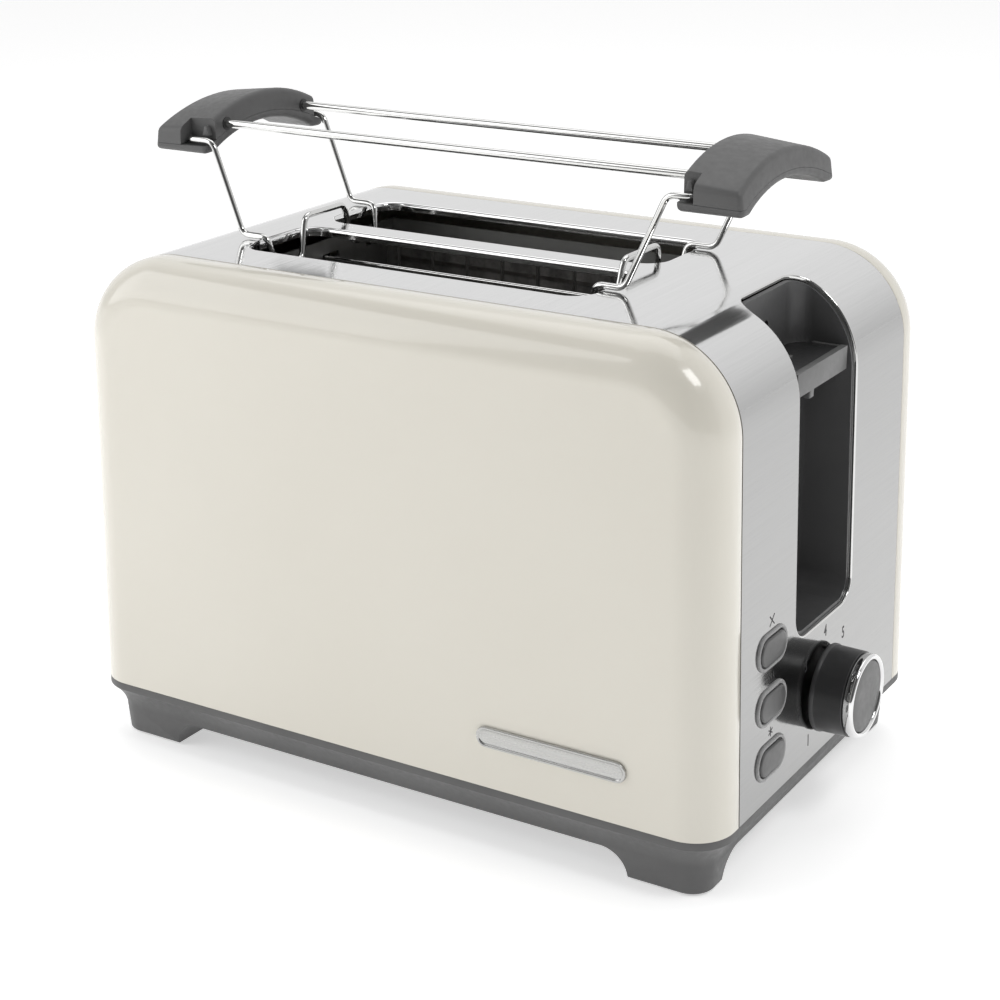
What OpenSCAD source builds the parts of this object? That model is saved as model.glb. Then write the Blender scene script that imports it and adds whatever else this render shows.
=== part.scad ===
// Two-slot pop up toaster with a lift-off warming rack.
// Origin at the bottom centre, X along the length with the control end at +X,
// the front face at -Y, Z up. Millimetres.

/* [Body] */
// Length of the steel top
body_len = 264; // [240:1:320]
// Width over the two painted shells
body_w = 180; // [176:1:216]
// Height of the steel top above the floor
body_h = 196.5; // [186:0.5:236]
// How far each end stands out further at the shells' lower edge
end_flare = 5; // [0:0.5:8]
// Radius of the two top corners, seen from the front
corner_r = 34; // [24:1:45]
// Fillet round the face of each painted shell
face_r = 15.5; // [8:0.5:18]
// Depth of each painted shell, from its face to the seam
shell_depth = 19.5; // [18.5:0.5:21]
// Wall of the painted shells
shell_wall = 1.2; // [0.8:0.1:2]
// Sheet of the steel band
band_wall = 0.8; // [0.6:0.1:1]

/* [Base] */
// Height of the base, floor to shells
base_h = 24.5; // [22:0.5:29]
// Height of the base's flush band under the shells
base_band = 3; // [2:0.5:5]
// Inset of the feet from the shells
foot_inset = 6; // [3:0.5:8]
// Height of the lower edge between the feet
arch_h = 10.8; // [8:0.1:12]
// Wall of the base
base_wall = 2.4; // [2:0.1:3]
// Length of each foot along the body
foot_len = 30; // [22:1:36]
// Length of each foot across the body
foot_w = 16; // [14:1:24]
// Radius of the soft pad in each foot
pad_r = 5; // [4:0.5:6]

/* [Bread slots] */
// Length of each bread slot
slot_len = 147; // [130:1:170]
// Width of each bread slot
slot_w = 42; // [36:0.5:44]
// Width of the divider between the slots
divider_w = 12.4; // [11:0.2:16]
// Corner radius of the slots
slot_r = 9; // [4:0.5:12]
// Middle of the slots along the body
slot_x = -12; // [-16:0.5:-8]
// Depth of the rolled rim round each slot
rim_h = 5; // [3:0.5:8]

/* [Lever] */
// Width of the lever well
well_w = 50; // [44:1:56]
// Depth of the lever well below the end of the top
well_depth = 25.5; // [20:0.5:28]
// Height of the lever well's floor above the floor
well_z = 75.8; // [72:0.1:82]
// Corner radius of the lever well
well_r = 9; // [5:0.5:12]
// Wall of the lever well
well_wall = 1.4; // [1:0.1:2]
// Width of the lever
lever_w = 43; // [36:1:46]
// Height of the lever's top, raised
lever_z = 172.5; // [162:0.5:174]
// Travel of the lever
lever_travel = 80; // [60:1:80]
// Width of the slit that the lever's stem runs in
slit_w = 4; // [3.6:0.1:5]

/* [Controls] */
// Height of the browning dial's axis
dial_z = 49.5; // [47:0.5:53]
// Radius of the dial at its foot
dial_r = 16.5; // [14:0.5:18]
// How far the dial stands out
dial_out = 16.5; // [10:0.5:20]
// Gap between the dial and the steel
dial_gap = 0.9; // [0.5:0.1:3]
// Radius of the dial's shaft
shaft_r = 3; // [2.5:0.1:3.5]
// Place of the buttons across the body
button_y = -45.5; // [-47:0.5:-44]
// Height of the lowest button
button_z = 40.3; // [38:0.1:44]
// Distance between the buttons
button_pitch = 20.8; // [20:0.1:24]
// Length of each button
button_len = 20; // [16:0.1:22]
// Height of each button
button_h = 9.8; // [9:0.1:13]
// Rim of the frame round each button
button_rim = 2; // [1.6:0.1:3.2]
// Travel of the buttons
button_travel = 1.8; // [1:0.1:2]

/* [Warming rack] */
// Height of the rack's rods above the steel top
rod_rise = 40.8; // [30:0.5:60]
// Distance between the two rods
rod_gap = 49; // [40:1:56]
// Radius of the rods
rod_r = 1.6; // [1.2:0.1:2]
// Radius of the leg wires
wire_r = 1.2; // [1:0.1:1.4]
// Length of each grip along the body
grip_w = 25; // [20:1:30]
// Length of each grip across the body
grip_len = 76; // [72:1:90]
// Middle of the grips along the body
rack_x = -9.3; // [-10:0.1:-8]
// Distance between the inner faces of the grips
grip_gap = 199; // [190:1:220]
// Height of the arch of each grip
grip_arch = 10; // [6:0.5:14]
// Distance across the legs
leg_gap = 71.2; // [66:0.2:74]

/* [Inside] */
// Sheet of the chassis plates
plate_t = 1; // [0.8:0.1:1.5]
// Radius of the carriage's guide rod
guide_r = 2.5; // [2:0.1:3]
// Radial clearance of running fits
run_gap = 0.06; // [0.02:0.01:0.1]
// How far each bread guide closes as the lever goes down
guide_travel = 8; // [4:0.5:9]
// Thickness of the mica heater boards
mica_t = 0.8; // [0.6:0.1:1]

/* [Hidden] */
$fn = 48;
eps = 0.01;

// Body outline: the ends lean outward towards the floor.
side_h = body_h - base_h;
slope = end_flare / side_h;
tilt = atan(slope);
arc_x = body_len / 2 - corner_r * (1 - sin(tilt)) / cos(tilt);
arc_z = body_h - corner_r;
band_w = body_w - 2 * shell_depth;
foot_x = body_len / 2 + end_flare;
corner_steps = 9;
fillet_steps = 6;

// Slots and the heating chamber round them.
slot_y = (divider_w + slot_w) / 2;
chamber_x0 = slot_x - slot_len / 2 - 3;
chamber_x1 = slot_x + slot_len / 2 + 3;
chamber_y = slot_y + slot_w / 2 + 12;
chamber_z0 = base_h + 1;
chamber_z1 = body_h - 9;
board_z0 = base_h + 22;
board_z1 = body_h - rim_h - 11;
board_y = slot_y + slot_w / 2 + 4;
middle_y = divider_w / 2 - 3;
guide_z0 = base_h + 20;
guide_z1 = body_h - rim_h - 11;
guide_wire = 0.8;
guide_in = 1.9;

// Lever and carriage.
well_x = body_len / 2 - well_depth;
stem_z = lever_z - 5.5;
stem_h = 5;
lever_front = body_len / 2 - 1.8;
lifter_z = lever_z - 42;
lifter_h = 8;
rod_x = chamber_x1 + 19.5;
bush_r = guide_r + 2.5;
carriage_x = chamber_x1 + 7.5;
magnet_y = -18;
spring_y = 14;
spring_r = 4;
spring_wire = 0.6;

// Controls.
board_x = body_len / 2 - 14;
board_t = 1.6;
dial_x = end_x(dial_z - dial_r) + dial_gap;
knob_len = dial_out - 4;
knob_r = dial_r - 0.5;
ring_r = knob_r - 0.3;
ring_w = 2.6;
frame_out = 0.9;
button_out = 1.7;
button_zs = [for (i = [0:2]) button_z + button_pitch * i];

// Feet and cord gland.
pad_out = 0.6;
pad_h = 2.6;
pad_x = foot_x - foot_inset - 12;
pad_y = body_w / 2 - foot_inset - 9;
cord_x = -112;
cord_z = base_h - 5.5;
gland_r = 5;
lead_r = 3.4;
flange_r = gland_r + 1;
flange_t = 2;
flange_y = body_w / 2 - 14;

// Crumb tray.
floor_t = 2;
tray_z = arch_h + floor_t + 0.5;
tray_y = chamber_y - 8;
tray_h = 7;
screw_y = chamber_y + 3;
screw_xs = [chamber_x0 - 7, chamber_x1 + 8];
screw_r = 1.5;
head_r = 3;
head_h = 2;

// Warming rack.
rod_z = body_h + rod_rise;
grip_x = grip_gap / 2;
grip_top = rod_z + 9.5;
grip_low = rod_z - 10;
clamp_h = 3;
pivot_x = grip_x + 7.5;
pivot_z = rod_z - 5.1;
pivot_len = 10;
socket = pivot_len + wire_r + 0.5;
notch_y = 7;
rod_in = 11;

function end_x(z) = body_len / 2 + slope * (body_h - z);

// Outline of the body in XZ, moved in by inset, from z_low up.
function side_outline(inset, z_low) = concat(
    [[-end_x(z_low) + inset / cos(tilt), z_low]],
    [for (i = [0:corner_steps])
        let (a = 180 - tilt - (90 - tilt) * i / corner_steps)
        [-arc_x + (corner_r - inset) * cos(a), arc_z + (corner_r - inset) * sin(a)]],
    [for (i = [0:corner_steps])
        let (a = 90 - (90 - tilt) * i / corner_steps)
        [arc_x + (corner_r - inset) * cos(a), arc_z + (corner_r - inset) * sin(a)]],
    [[end_x(z_low) - inset / cos(tilt), z_low]]
);

// Points of a rectangle with rounded corners, centred.
function rounded(l, w, r, n) = [
    for (c = [[1, 1, 0], [-1, 1, 90], [-1, -1, 180], [1, -1, 270]])
    for (i = [0:n])
        [c[0] * (l / 2 - r) + r * cos(c[2] + 90 * i / n),
         c[1] * (w / 2 - r) + r * sin(c[2] + 90 * i / n)]
];

// Solid through closed rings of the same number of points.
module loft(rings) {
    n = len(rings[0]);
    m = len(rings);
    polyhedron(
        points = [for (r = rings) each r],
        faces = concat(
            [[for (i = [0:n - 1]) i]],
            [for (k = [0:m - 2]) for (i = [0:n - 1])
                [k * n + i, (k + 1) * n + i, (k + 1) * n + (i + 1) % n]],
            [for (k = [0:m - 2]) for (i = [0:n - 1])
                [k * n + i, (k + 1) * n + (i + 1) % n, k * n + (i + 1) % n]],
            [[for (i = [n - 1:-1:0]) (m - 1) * n + i]]
        )
    );
}

// Round bar along X, Y or Z from a point.
module bar_x(p, r, l) translate(p) rotate([0, 90, 0]) cylinder(r = r, h = l);
module bar_y(p, r, l) translate(p) rotate([-90, 0, 0]) cylinder(r = r, h = l);
module bar_z(p, r, l) translate(p) cylinder(r = r, h = l);

// Box from its low corner to its high corner.
module box(a, b) translate(a) cube(b - a);

// Obround plate standing on a YZ plane, thickness along +X.
module pill_x(len_y, h_z, t) {
    rotate([90, 0, 90]) linear_extrude(t) {
        square([len_y - h_z, h_z], center = true);
        for (s = [-1, 1]) translate([s * (len_y - h_z) / 2, 0]) circle(d = h_z);
    }
}

// Body side shape extruded across the body.
module side_solid(inset, z_low, width) {
    rotate([90, 0, 0]) linear_extrude(width, center = true)
        polygon(side_outline(inset, z_low));
}

// ---- Base ----

function base_ring(z, inset) = [
    for (p = rounded(2 * (foot_x - inset), body_w - 2 * inset, face_r - inset, 5))
        [p[0], p[1], z]
];

// Lower edge between two feet: a flat arch with rounded haunches.
module foot_arch(half, depth) {
    haunch = arch_h;
    rotate([90, 0, 0]) linear_extrude(depth, center = true) polygon(concat(
        [[-half, -1]],
        [for (i = [0:6]) [-half + haunch * (1 - cos(15 * i)), haunch * sin(15 * i)]],
        [for (i = [6:-1:0]) [half - haunch * (1 - cos(15 * i)), haunch * sin(15 * i)]],
        [[half, -1]]
    ));
}

module base() {
    band_z = base_h - base_band;
    flare_h = band_z - arch_h;
    color("#6d6d6d") difference() {
        union() {
            difference() {
                loft(concat(
                    [base_ring(pad_out, foot_inset + 0.8)],
                    [for (u = [0:0.25:1]) base_ring(arch_h + flare_h * u, foot_inset * (1 - u * u))],
                    [base_ring(base_h, 0)]
                ));
                // The tray, wiring and mechanism stand in the hollow above the floor.
                loft([for (z = [arch_h + floor_t, base_h - base_band, base_h + 1])
                    base_ring(z, base_wall + foot_inset * (z < band_z ? 1 : 0))]);
                foot_arch(foot_x - foot_inset - foot_len, body_w + 10);
                rotate([0, 0, 90])
                    foot_arch(body_w / 2 - foot_inset - foot_w, 2 * foot_x + 10);
            }
            // Posts that carry the chassis.
            for (x = screw_xs) for (s = [-1, 1])
                bar_z([x, s * screw_y, arch_h + floor_t - eps], 4, chamber_z0 - arch_h - floor_t);
        }
        for (x = screw_xs) for (s = [-1, 1]) {
            bar_z([x, s * screw_y, 0], screw_r + 0.1, base_h + 2);
            bar_z([x, s * screw_y, -1], head_r + 0.4, arch_h + 1);
        }
        for (sx = [-1, 1]) for (sy = [-1, 1])
            bar_z([sx * pad_x, sy * pad_y, -1], pad_r, 1 + pad_h);
        // Mouth of the crumb tray in the left end.
        box([-foot_x - 5, -tray_y - 1, tray_z - 0.4], [-foot_x + 15, tray_y + 1, base_h + 1]);
        bar_y([cord_x, body_w / 2 - 20, cord_z], gland_r + run_gap, 30);
        bar_y([cord_x, flange_y - 0.2, cord_z], flange_r + 0.2, flange_t + 0.2);
    }
}

module foot_pads() {
    color("#2a2a2a") for (sx = [-1, 1]) for (sy = [-1, 1])
        bar_z([sx * pad_x, sy * pad_y, 0], pad_r, pad_h);
}

module base_screws() {
    color("silver") for (x = screw_xs) for (s = [-1, 1]) {
        bar_z([x, s * screw_y, arch_h - head_h], head_r, head_h);
        bar_z([x, s * screw_y, arch_h - eps], screw_r, chamber_z0 + plate_t - arch_h);
    }
}

// Collar in the rear wall that grips the mains lead.
module cord_gland() {
    color("#3a3a3a") difference() {
        union() {
            bar_y([cord_x, flange_y + flange_t - eps, cord_z], gland_r,
                body_w / 2 + 0.5 - flange_y - flange_t);
            bar_y([cord_x, body_w / 2 + 0.5 - 2 * eps, cord_z], gland_r + 0.4, 2.5);
            bar_y([cord_x, flange_y, cord_z], flange_r, flange_t);
        }
        bar_y([cord_x, flange_y - 1, cord_z], lead_r, 20);
    }
}

module crumb_tray() {
    x0 = -foot_x - 0.6;
    x1 = chamber_x1 + 1;
    lip = 2;
    color("#9a9a9a") {
        difference() {
            box([x0, -tray_y, tray_z], [x1, tray_y, tray_z + tray_h]);
            box([x0 + 4, -tray_y + plate_t, tray_z + plate_t],
                [x1 - plate_t, tray_y - plate_t, tray_z + tray_h + 1]);
        }
        box([x0 - lip, -tray_y - 0.6, tray_z], [x0 + eps, tray_y + 0.6, base_h - 0.6]);
    }
}

// ---- Shells and steel band ----

function shell_ring(y, inset, z_low) = [for (p = side_outline(inset, z_low)) [p[0], y, p[1]]];

module shell_solid(t, z_low, seam) {
    r = face_r - t;
    y1 = body_w / 2 - face_r;
    loft(concat(
        [shell_ring(seam, t, z_low)],
        [for (i = [0:fillet_steps]) let (a = 90 * i / fillet_steps)
            shell_ring(y1 + r * sin(a), t + r * (1 - cos(a)), z_low)]
    ));
}

module shell() {
    difference() {
        shell_solid(0, base_h, band_w / 2);
        shell_solid(shell_wall, base_h - 2, band_w / 2 - 2);
    }
}

module front_shell() {
    color("#e6e2d6") mirror([0, 1, 0]) shell();
}

module rear_shell() {
    color("#e6e2d6") shell();
}

// Room of the lever well, grown by g, open at the end and the top.
module well_room(g) {
    intersection() {
        translate([well_x - g, 0, well_z - g]) rotate([90, 0, 90]) linear_extrude(80)
            translate([0, 75]) polygon(rounded(well_w + 2 * g, 150, well_r + g, 6));
        translate([well_x - g + 40, 0, 0]) linear_extrude(body_h + 50)
            polygon(rounded(80, well_w + 2 * g, well_r + g, 6));
    }
}

module slot_shape(grow, r) {
    polygon(rounded(slot_len + 2 * grow, slot_w + 2 * grow, r + grow, 5));
}

module steel_band() {
    color("#c9c9c9") {
        difference() {
            side_solid(0, base_h, band_w);
            side_solid(band_wall, base_h - 1, band_w + 2);
            for (s = [-1, 1]) translate([slot_x, s * slot_y, body_h - 5])
                linear_extrude(10) slot_shape(0, slot_r);
            well_room(0);
            for (z = button_zs) translate([board_x, button_y, z])
                pill_x(button_len + 2 * button_rim, button_h + 2 * button_rim, 40);
            bar_x([board_x, 0, dial_z], shaft_r + 2, 40);
        }
        // Rolled rims that line the bread slots.
        for (s = [-1, 1]) translate([slot_x, s * slot_y, body_h - rim_h])
            linear_extrude(rim_h - band_wall + eps) difference() {
                slot_shape(band_wall, slot_r);
                slot_shape(0, slot_r);
            }
    }
}

// Plain bright lozenge on the front.
module badge() {
    badge_l = 60;
    badge_h = 8;
    badge_x = body_len / 2 - 58.5;
    badge_z = base_h + 20.2;
    color("#dddddd") translate([badge_x, -body_w / 2, badge_z]) rotate([90, 0, 0]) linear_extrude(1.2) {
        square([badge_l - badge_h, badge_h], center = true);
        for (s = [-1, 1]) translate([s * (badge_l - badge_h) / 2, 0]) circle(d = badge_h);
    }
}

module well_liner() {
    color("#4a4a4a") difference() {
        intersection() {
            well_room(0);
            side_solid(0.4, base_h, body_w);
        }
        well_room(-well_wall);
        box([well_x - 1, -slit_w / 2, stem_z - lever_travel - 2],
            [well_x + well_wall + 1, slit_w / 2, lever_z + 11]);
    }
}

// ---- Lever and carriage ----

module lever() {
    x0 = well_x + well_wall + 1.6;
    lip_t = 2.4;
    lip_h = 8.6;
    color("#808080") difference() {
        intersection() {
            lever_blank(x0, lip_t, lip_h);
            // Round back corners, to clear those of the well.
            translate([x0 + body_len / 2, 0, 0]) linear_extrude(body_h)
                polygon(rounded(body_len, lever_w, well_r - well_wall, 6));
        }
        box([x0 - 1, -1.6, stem_z - 0.1], [x0 + 9, 1.6, stem_z + stem_h + 0.1]);
    }
}

// Plate, lip, ribs and hub of the lever, with square corners.
module lever_blank(x0, lip_t, lip_h) {
    rib_y = lever_w / 2 - 1;
    box([x0, -lever_w / 2, lever_z - lip_t], [lever_front, lever_w / 2, lever_z]);
    box([lever_front - lip_t, -lever_w / 2, lever_z - lip_h], [lever_front, lever_w / 2, lever_z]);
    for (s = [-1, 1])
        box([x0, s * rib_y - 1, lever_z - lip_h + 2], [lever_front, s * rib_y + 1, lever_z]);
    box([x0, -4, lever_z - lip_h + 1], [x0 + 13, 4, lever_z]);
    box([lever_front - 3.2, -9.5, lever_z - lip_h - 3.2],
        [lever_front - 0.4, -6, lever_z - lip_h + eps]);
}

module carriage() {
    stem_end = well_x + well_wall + 10;
    color("#b0b0b0") difference() {
        union() {
            box([carriage_x, -slot_y - 4, lifter_z], [carriage_x + 2, slot_y + 4, lever_z - 8]);
            box([carriage_x + 1, -1.5, lifter_z + 2], [rod_x, 1.5, lever_z - 8]);
            bar_z([rod_x, 0, lifter_z + 2], bush_r, lever_z - lifter_z);
            box([rod_x + 1, -1.5, stem_z], [stem_end, 1.5, stem_z + stem_h]);
            // Ear that the lift spring hooks into.
            box([carriage_x + 1, spring_y - 4, lever_z - 15], [rod_x + 4, spring_y + 4, lever_z - 13]);
        }
        bar_z([rod_x, 0, lifter_z], guide_r + run_gap, lever_z);
    }
}

module armature() {
    color("#8c8c8c")
        box([carriage_x, magnet_y - 8, lifter_z - 2], [carriage_x + 14, magnet_y + 8, lifter_z]);
}

// Toothed rail that lifts one slice.
module lifter(y) {
    tooth_w = 17;
    teeth = 11;
    color("#b8b8b8") {
        box([chamber_x0 - 1.5, y - 0.8, lifter_z], [carriage_x, y + 0.8, lifter_z + lifter_h]);
        for (i = [0:teeth - 1]) {
            x = slot_x + (slot_len - 16) * (i / (teeth - 1) - 0.5);
            box([x - 0.6, y - tooth_w / 2, lifter_z + lifter_h - 3],
                [x + 0.6, y + tooth_w / 2, lifter_z + lifter_h]);
        }
    }
}

module lifter_front() lifter(-slot_y);
module lifter_rear() lifter(slot_y);

module guide_rod() {
    color("silver") bar_z([rod_x, 0, chamber_z0], guide_r, chamber_z1 - chamber_z0 + plate_t);
}

// Helix swept with a ring of points, ends closed.
module coil(r, wire, z0, z1, turns) {
    per_turn = 14;
    sides = 6;
    steps = turns * per_turn;
    rings = [for (k = [0:steps]) let (a = 360 * k / per_turn, z = z0 + (z1 - z0) * k / steps)
        [for (j = [0:sides - 1]) let (b = 360 * j / sides)
            [(r + wire * cos(b)) * cos(a), (r + wire * cos(b)) * sin(a), z - wire * sin(b)]]];
    loft(rings);
}

module lift_spring() {
    color("silver") translate([rod_x, spring_y, 0])
        coil(spring_r, spring_wire, lever_z - 13 + spring_wire, chamber_z1 - spring_wire, 8);
}

module electromagnet() {
    top = lifter_z - 2 - lever_travel - 0.4;
    low = chamber_z0 + plate_t;
    x = carriage_x + 7;
    color("#7a4a2a") {
        box([x - 7, magnet_y - 9, low], [x + 7, magnet_y + 9, low + 3]);
        for (s = [-1, 1]) {
            box([x - 3, magnet_y + s * 5.5 - 2, low], [x + 3, magnet_y + s * 5.5 + 2, top]);
            box([x - 5, magnet_y + s * 5.5 - 3.3, low + 4],
                [x + 5, magnet_y + s * 5.5 + 3.3, top - 4]);
        }
    }
}

// ---- Controls ----

module control_board() {
    top = button_zs[2] + 12;
    inner = -well_w / 2 - 3;
    color("#3f6b3f") {
        box([board_x, button_y - 14, base_h + 4], [board_x + board_t, inner, top]);
        box([board_x, inner - eps, base_h + 4], [board_x + board_t, 26, well_z - 4]);
    }
}

module dial_pot() {
    x = board_x + board_t;
    color("#2f4f8f") difference() {
        union() {
            box([x, -8, dial_z - 8], [x + 7, 8, dial_z + 8]);
            bar_x([x + 7 - eps, 0, dial_z], shaft_r + 1.4, 6);
        }
        bar_x([x + 2, 0, dial_z], shaft_r + run_gap, 12);
    }
}

module dial_shaft() {
    x = board_x + board_t + 2.3;
    color("silver") bar_x([x, 0, dial_z], shaft_r, dial_x + knob_len - 3 - x);
}

// Turned outline of the dial, from its axis outwards.
module dial_knob() {
    color("#333333") translate([dial_x, 0, dial_z]) rotate([90, 0, 90]) difference() {
        rotate_extrude() polygon([
            [0, 0], [dial_r, 0], [knob_r, knob_len], [0, knob_len]
        ]);
        translate([0, 0, -1]) cylinder(r = shaft_r, h = knob_len - 2);
        // Hollow round the hub.
        translate([0, 0, -1]) difference() {
            cylinder(r = knob_r - 1.6, h = knob_len - 1);
            cylinder(r = shaft_r + 2.5, h = knob_len);
        }
    }
}

module dial_ring() {
    color("#e0e0e0") translate([dial_x + knob_len, 0, dial_z]) rotate([90, 0, 90])
        rotate_extrude() polygon([
            [ring_r - ring_w, 0], [ring_r - 0.2, 0], [ring_r, 0.8], [ring_r, 2.4],
            [ring_r - 0.6, 3.4], [ring_r - 1.3, 4], [ring_r - 2.1, 3.8], [ring_r - ring_w, 3.2]
        ]);
}

module dial_cap() {
    color("#808080") bar_x([dial_x + knob_len, 0, dial_z], ring_r - ring_w, 3.4);
}

module button_frame() {
    back = end_x(button_zs[2]) - 5;
    rim_len = button_len + 2 * button_rim;
    rim_h = button_h + 2 * button_rim;
    color("#8a8a8a") difference() {
        union() {
            box([back, button_y - rim_len / 2 - 1, button_z - rim_h / 2 - 1],
                [back + 2, button_y + rim_len / 2 + 1, button_zs[2] + rim_h / 2 + 1]);
            for (z = button_zs) translate([back, button_y, z])
                pill_x(rim_len, rim_h, end_x(z) + frame_out - back);
        }
        for (z = button_zs) translate([back - 1, button_y, z])
            pill_x(button_len + 0.7, button_h + 0.7, 20);
    }
}

module button(i) {
    z = button_zs[i];
    back = end_x(button_zs[2]) - 5;
    front = end_x(z) + button_out;
    tip = board_x + board_t + 3.8 + button_travel + 0.3;
    color("#787878") {
        translate([back - 2, button_y, z]) pill_x(button_len, button_h, front - back + 2);
        translate([back - 2.3, button_y, z]) pill_x(button_len + 3, button_h + 3, 2);
        bar_x([tip, button_y, z], 2, back - tip);
    }
}

module button_defrost() button(0);
module button_reheat() button(1);
module button_cancel() button(2);

module tact_switches() {
    x = board_x + board_t;
    color("#303030") for (z = button_zs) {
        box([x, button_y - 3, z - 3], [x + 3.5, button_y + 3, z + 3]);
        bar_x([x + 3.5 - eps, button_y, z], 1.7, 0.3);
    }
}

// ---- Chassis and heaters ----

// Slots in a chassis plate for the lifters and the bread guides.
module plate_cuts(x) {
    for (s = [-1, 1]) {
        box([x - 5, s * slot_y - 1.6, lifter_z - lever_travel - 2],
            [x + 5, s * slot_y + 1.6, lifter_z + lifter_h + 2]);
        for (e = [-1, 1]) for (z = [guide_z0, guide_z1]) {
            y = s * slot_y + e * (slot_w / 2 - guide_in);
            y1 = y - e * guide_travel;
            box([x - 5, min(y, y1) - 1.4, z - 1.2], [x + 5, max(y, y1) + 1.4, z + 1.2]);
        }
    }
}

module chassis_left() {
    color("#c4c4c4") difference() {
        union() {
            box([chamber_x0 - plate_t, -chamber_y, chamber_z0], [chamber_x0, chamber_y, chamber_z1]);
            for (s = [-1, 1])
                box([chamber_x0 - 12, s * screw_y - 5, chamber_z0],
                    [chamber_x0, s * screw_y + 5, chamber_z0 + plate_t]);
        }
        plate_cuts(chamber_x0);
        for (s = [-1, 1]) bar_z([screw_xs[0], s * screw_y, chamber_z0 - 1], screw_r, 5);
    }
}

module chassis_right() {
    color("#c4c4c4") difference() {
        union() {
            box([chamber_x1, -chamber_y, chamber_z0], [chamber_x1 + plate_t, chamber_y, chamber_z1]);
            for (s = [-1, 1])
                box([chamber_x1, s * screw_y - 5, chamber_z0],
                    [chamber_x1 + 13, s * screw_y + 5, chamber_z0 + plate_t]);
            for (z = [chamber_z0, chamber_z1])
                box([chamber_x1, -slot_y - 4, z],
                    [min(rod_x + 8, well_x - 1), slot_y + 4, z + plate_t]);
        }
        plate_cuts(chamber_x1);
        for (s = [-1, 1]) bar_z([screw_xs[1], s * screw_y, chamber_z0 - 1], screw_r, 5);
        bar_z([rod_x, 0, chamber_z0 - 1], guide_r, body_h);
    }
}

module shield(s) {
    y = s * (chamber_y - 3);
    color("#bcbcbc") box([chamber_x0, y - 0.3, chamber_z0 + 3], [chamber_x1, y + 0.3, chamber_z1]);
}

module shield_front() shield(-1);
module shield_rear() shield(1);

// Mica sheet with notched upper and lower edges.
module mica(y) {
    notch = 3;
    rows = 12;
    color("#b59a6a") difference() {
        box([chamber_x0, y - mica_t / 2, board_z0], [chamber_x1, y + mica_t / 2, board_z1]);
        for (i = [1:rows]) for (z = [board_z0, board_z1]) {
            x = chamber_x0 + (chamber_x1 - chamber_x0) * i / (rows + 1);
            box([x - notch, y - 1, z - 2], [x + notch, y + 1, z + 2]);
        }
    }
}

// Flat resistance strips on one side of a board.
module ribbon(y, side) {
    rows = 10;
    color("#8a5a44") for (i = [0:rows - 1]) {
        z = board_z0 + 8 + (board_z1 - board_z0 - 16) * i / (rows - 1);
        y0 = y + side * mica_t / 2;
        box([chamber_x0 + 5, min(y0, y0 + side * 0.3), z - 0.7],
            [chamber_x1 - 5, max(y0, y0 + side * 0.3), z + 0.7]);
    }
}

module heater_board_front() mica(-board_y);
module heater_board_rear() mica(board_y);
module heater_board_middle() {
    mica(-middle_y);
    mica(middle_y);
}
module heater_ribbon_front() ribbon(-board_y, 1);
module heater_ribbon_rear() ribbon(board_y, -1);
module heater_ribbon_middle() {
    ribbon(-middle_y, -1);
    ribbon(middle_y, 1);
}

// Wire cage that stands beside a slice; e is the side of its slot.
module bread_guide(s, e) {
    wires = 9;
    y = s * slot_y + e * (slot_w / 2 - guide_in);
    color("#cfcfcf") {
        for (z = [guide_z0, guide_z1])
            bar_x([chamber_x0 - 2, y, z], guide_wire, chamber_x1 - chamber_x0 + 4);
        for (i = [0:wires - 1])
            bar_z([slot_x + (slot_len - 14) * (i / (wires - 1) - 0.5), y, guide_z0],
                guide_wire, guide_z1 - guide_z0);
    }
}

module guide_front_outer() bread_guide(-1, -1);
module guide_front_inner() bread_guide(-1, 1);
module guide_rear_inner() bread_guide(1, -1);
module guide_rear_outer() bread_guide(1, 1);

// ---- Warming rack ----

// Side shape of a grip: an arch with blunt ends and a hollow underside.
module grip_arch_shape() {
    half = grip_len / 2;
    top_r = (half * half + grip_arch * grip_arch) / (2 * grip_arch);
    difference() {
        intersection() {
            translate([0, grip_top - top_r]) circle(r = top_r, $fn = 120);
            translate([-half, grip_low]) square([grip_len, grip_top - grip_low]);
        }
        under_arc(0);
    }
}

// Round hollow below a grip, raised by up.
module under_arc(up) {
    half = grip_len / 2 - 6;
    rise = 8;
    r = (half * half + rise * rise) / (2 * rise);
    translate([0, grip_low + rise - r + up]) circle(r = r, $fn = 120);
}

// Everything below the joint line between a grip and its clamp.
module below_joint() {
    under_arc(clamp_h);
    translate([-grip_len, grip_low - 5]) square([2 * grip_len, clamp_h + 5]);
}

// The grip or its clamp on side s of the rack, with sockets for rods and pivots.
module grip_part(s, is_clamp) {
    x0 = rack_x + (s > 0 ? grip_x : -grip_x - grip_w);
    inner = rack_x + s * grip_x;
    notch_end = slot_x + s * (pivot_x + 2);
    difference() {
        translate([x0, 0, 0]) rotate([90, 0, 90]) linear_extrude(grip_w) {
            if (is_clamp) intersection() {
                grip_arch_shape();
                below_joint();
            }
            else difference() {
                grip_arch_shape();
                below_joint();
            }
        }
        // Open notches for the legs at both ends of the inner side.
        for (e = [-1, 1]) {
            yn = e * (grip_len / 2 - notch_y / 2 + 1);
            box([min(inner - s, notch_end), yn - notch_y / 2 - 1, grip_low + clamp_h],
                [max(inner - s, notch_end), yn + notch_y / 2 + 1, grip_top + 1]);
            bar_y([slot_x + s * pivot_x, min(e * (leg_gap / 2 - socket), e * leg_gap / 2), pivot_z],
                wire_r + run_gap, socket);
        }
        for (e = [-1, 1])
            bar_x([min(inner - s, inner + s * rod_in), e * rod_gap / 2, rod_z], rod_r, rod_in + 1);
    }
}

module rack_grip_left() color("#6e6e6e") grip_part(-1, false);
module rack_grip_right() color("#6e6e6e") grip_part(1, false);
module rack_clamp_left() color("#747474") grip_part(-1, true);
module rack_clamp_right() color("#747474") grip_part(1, true);

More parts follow.
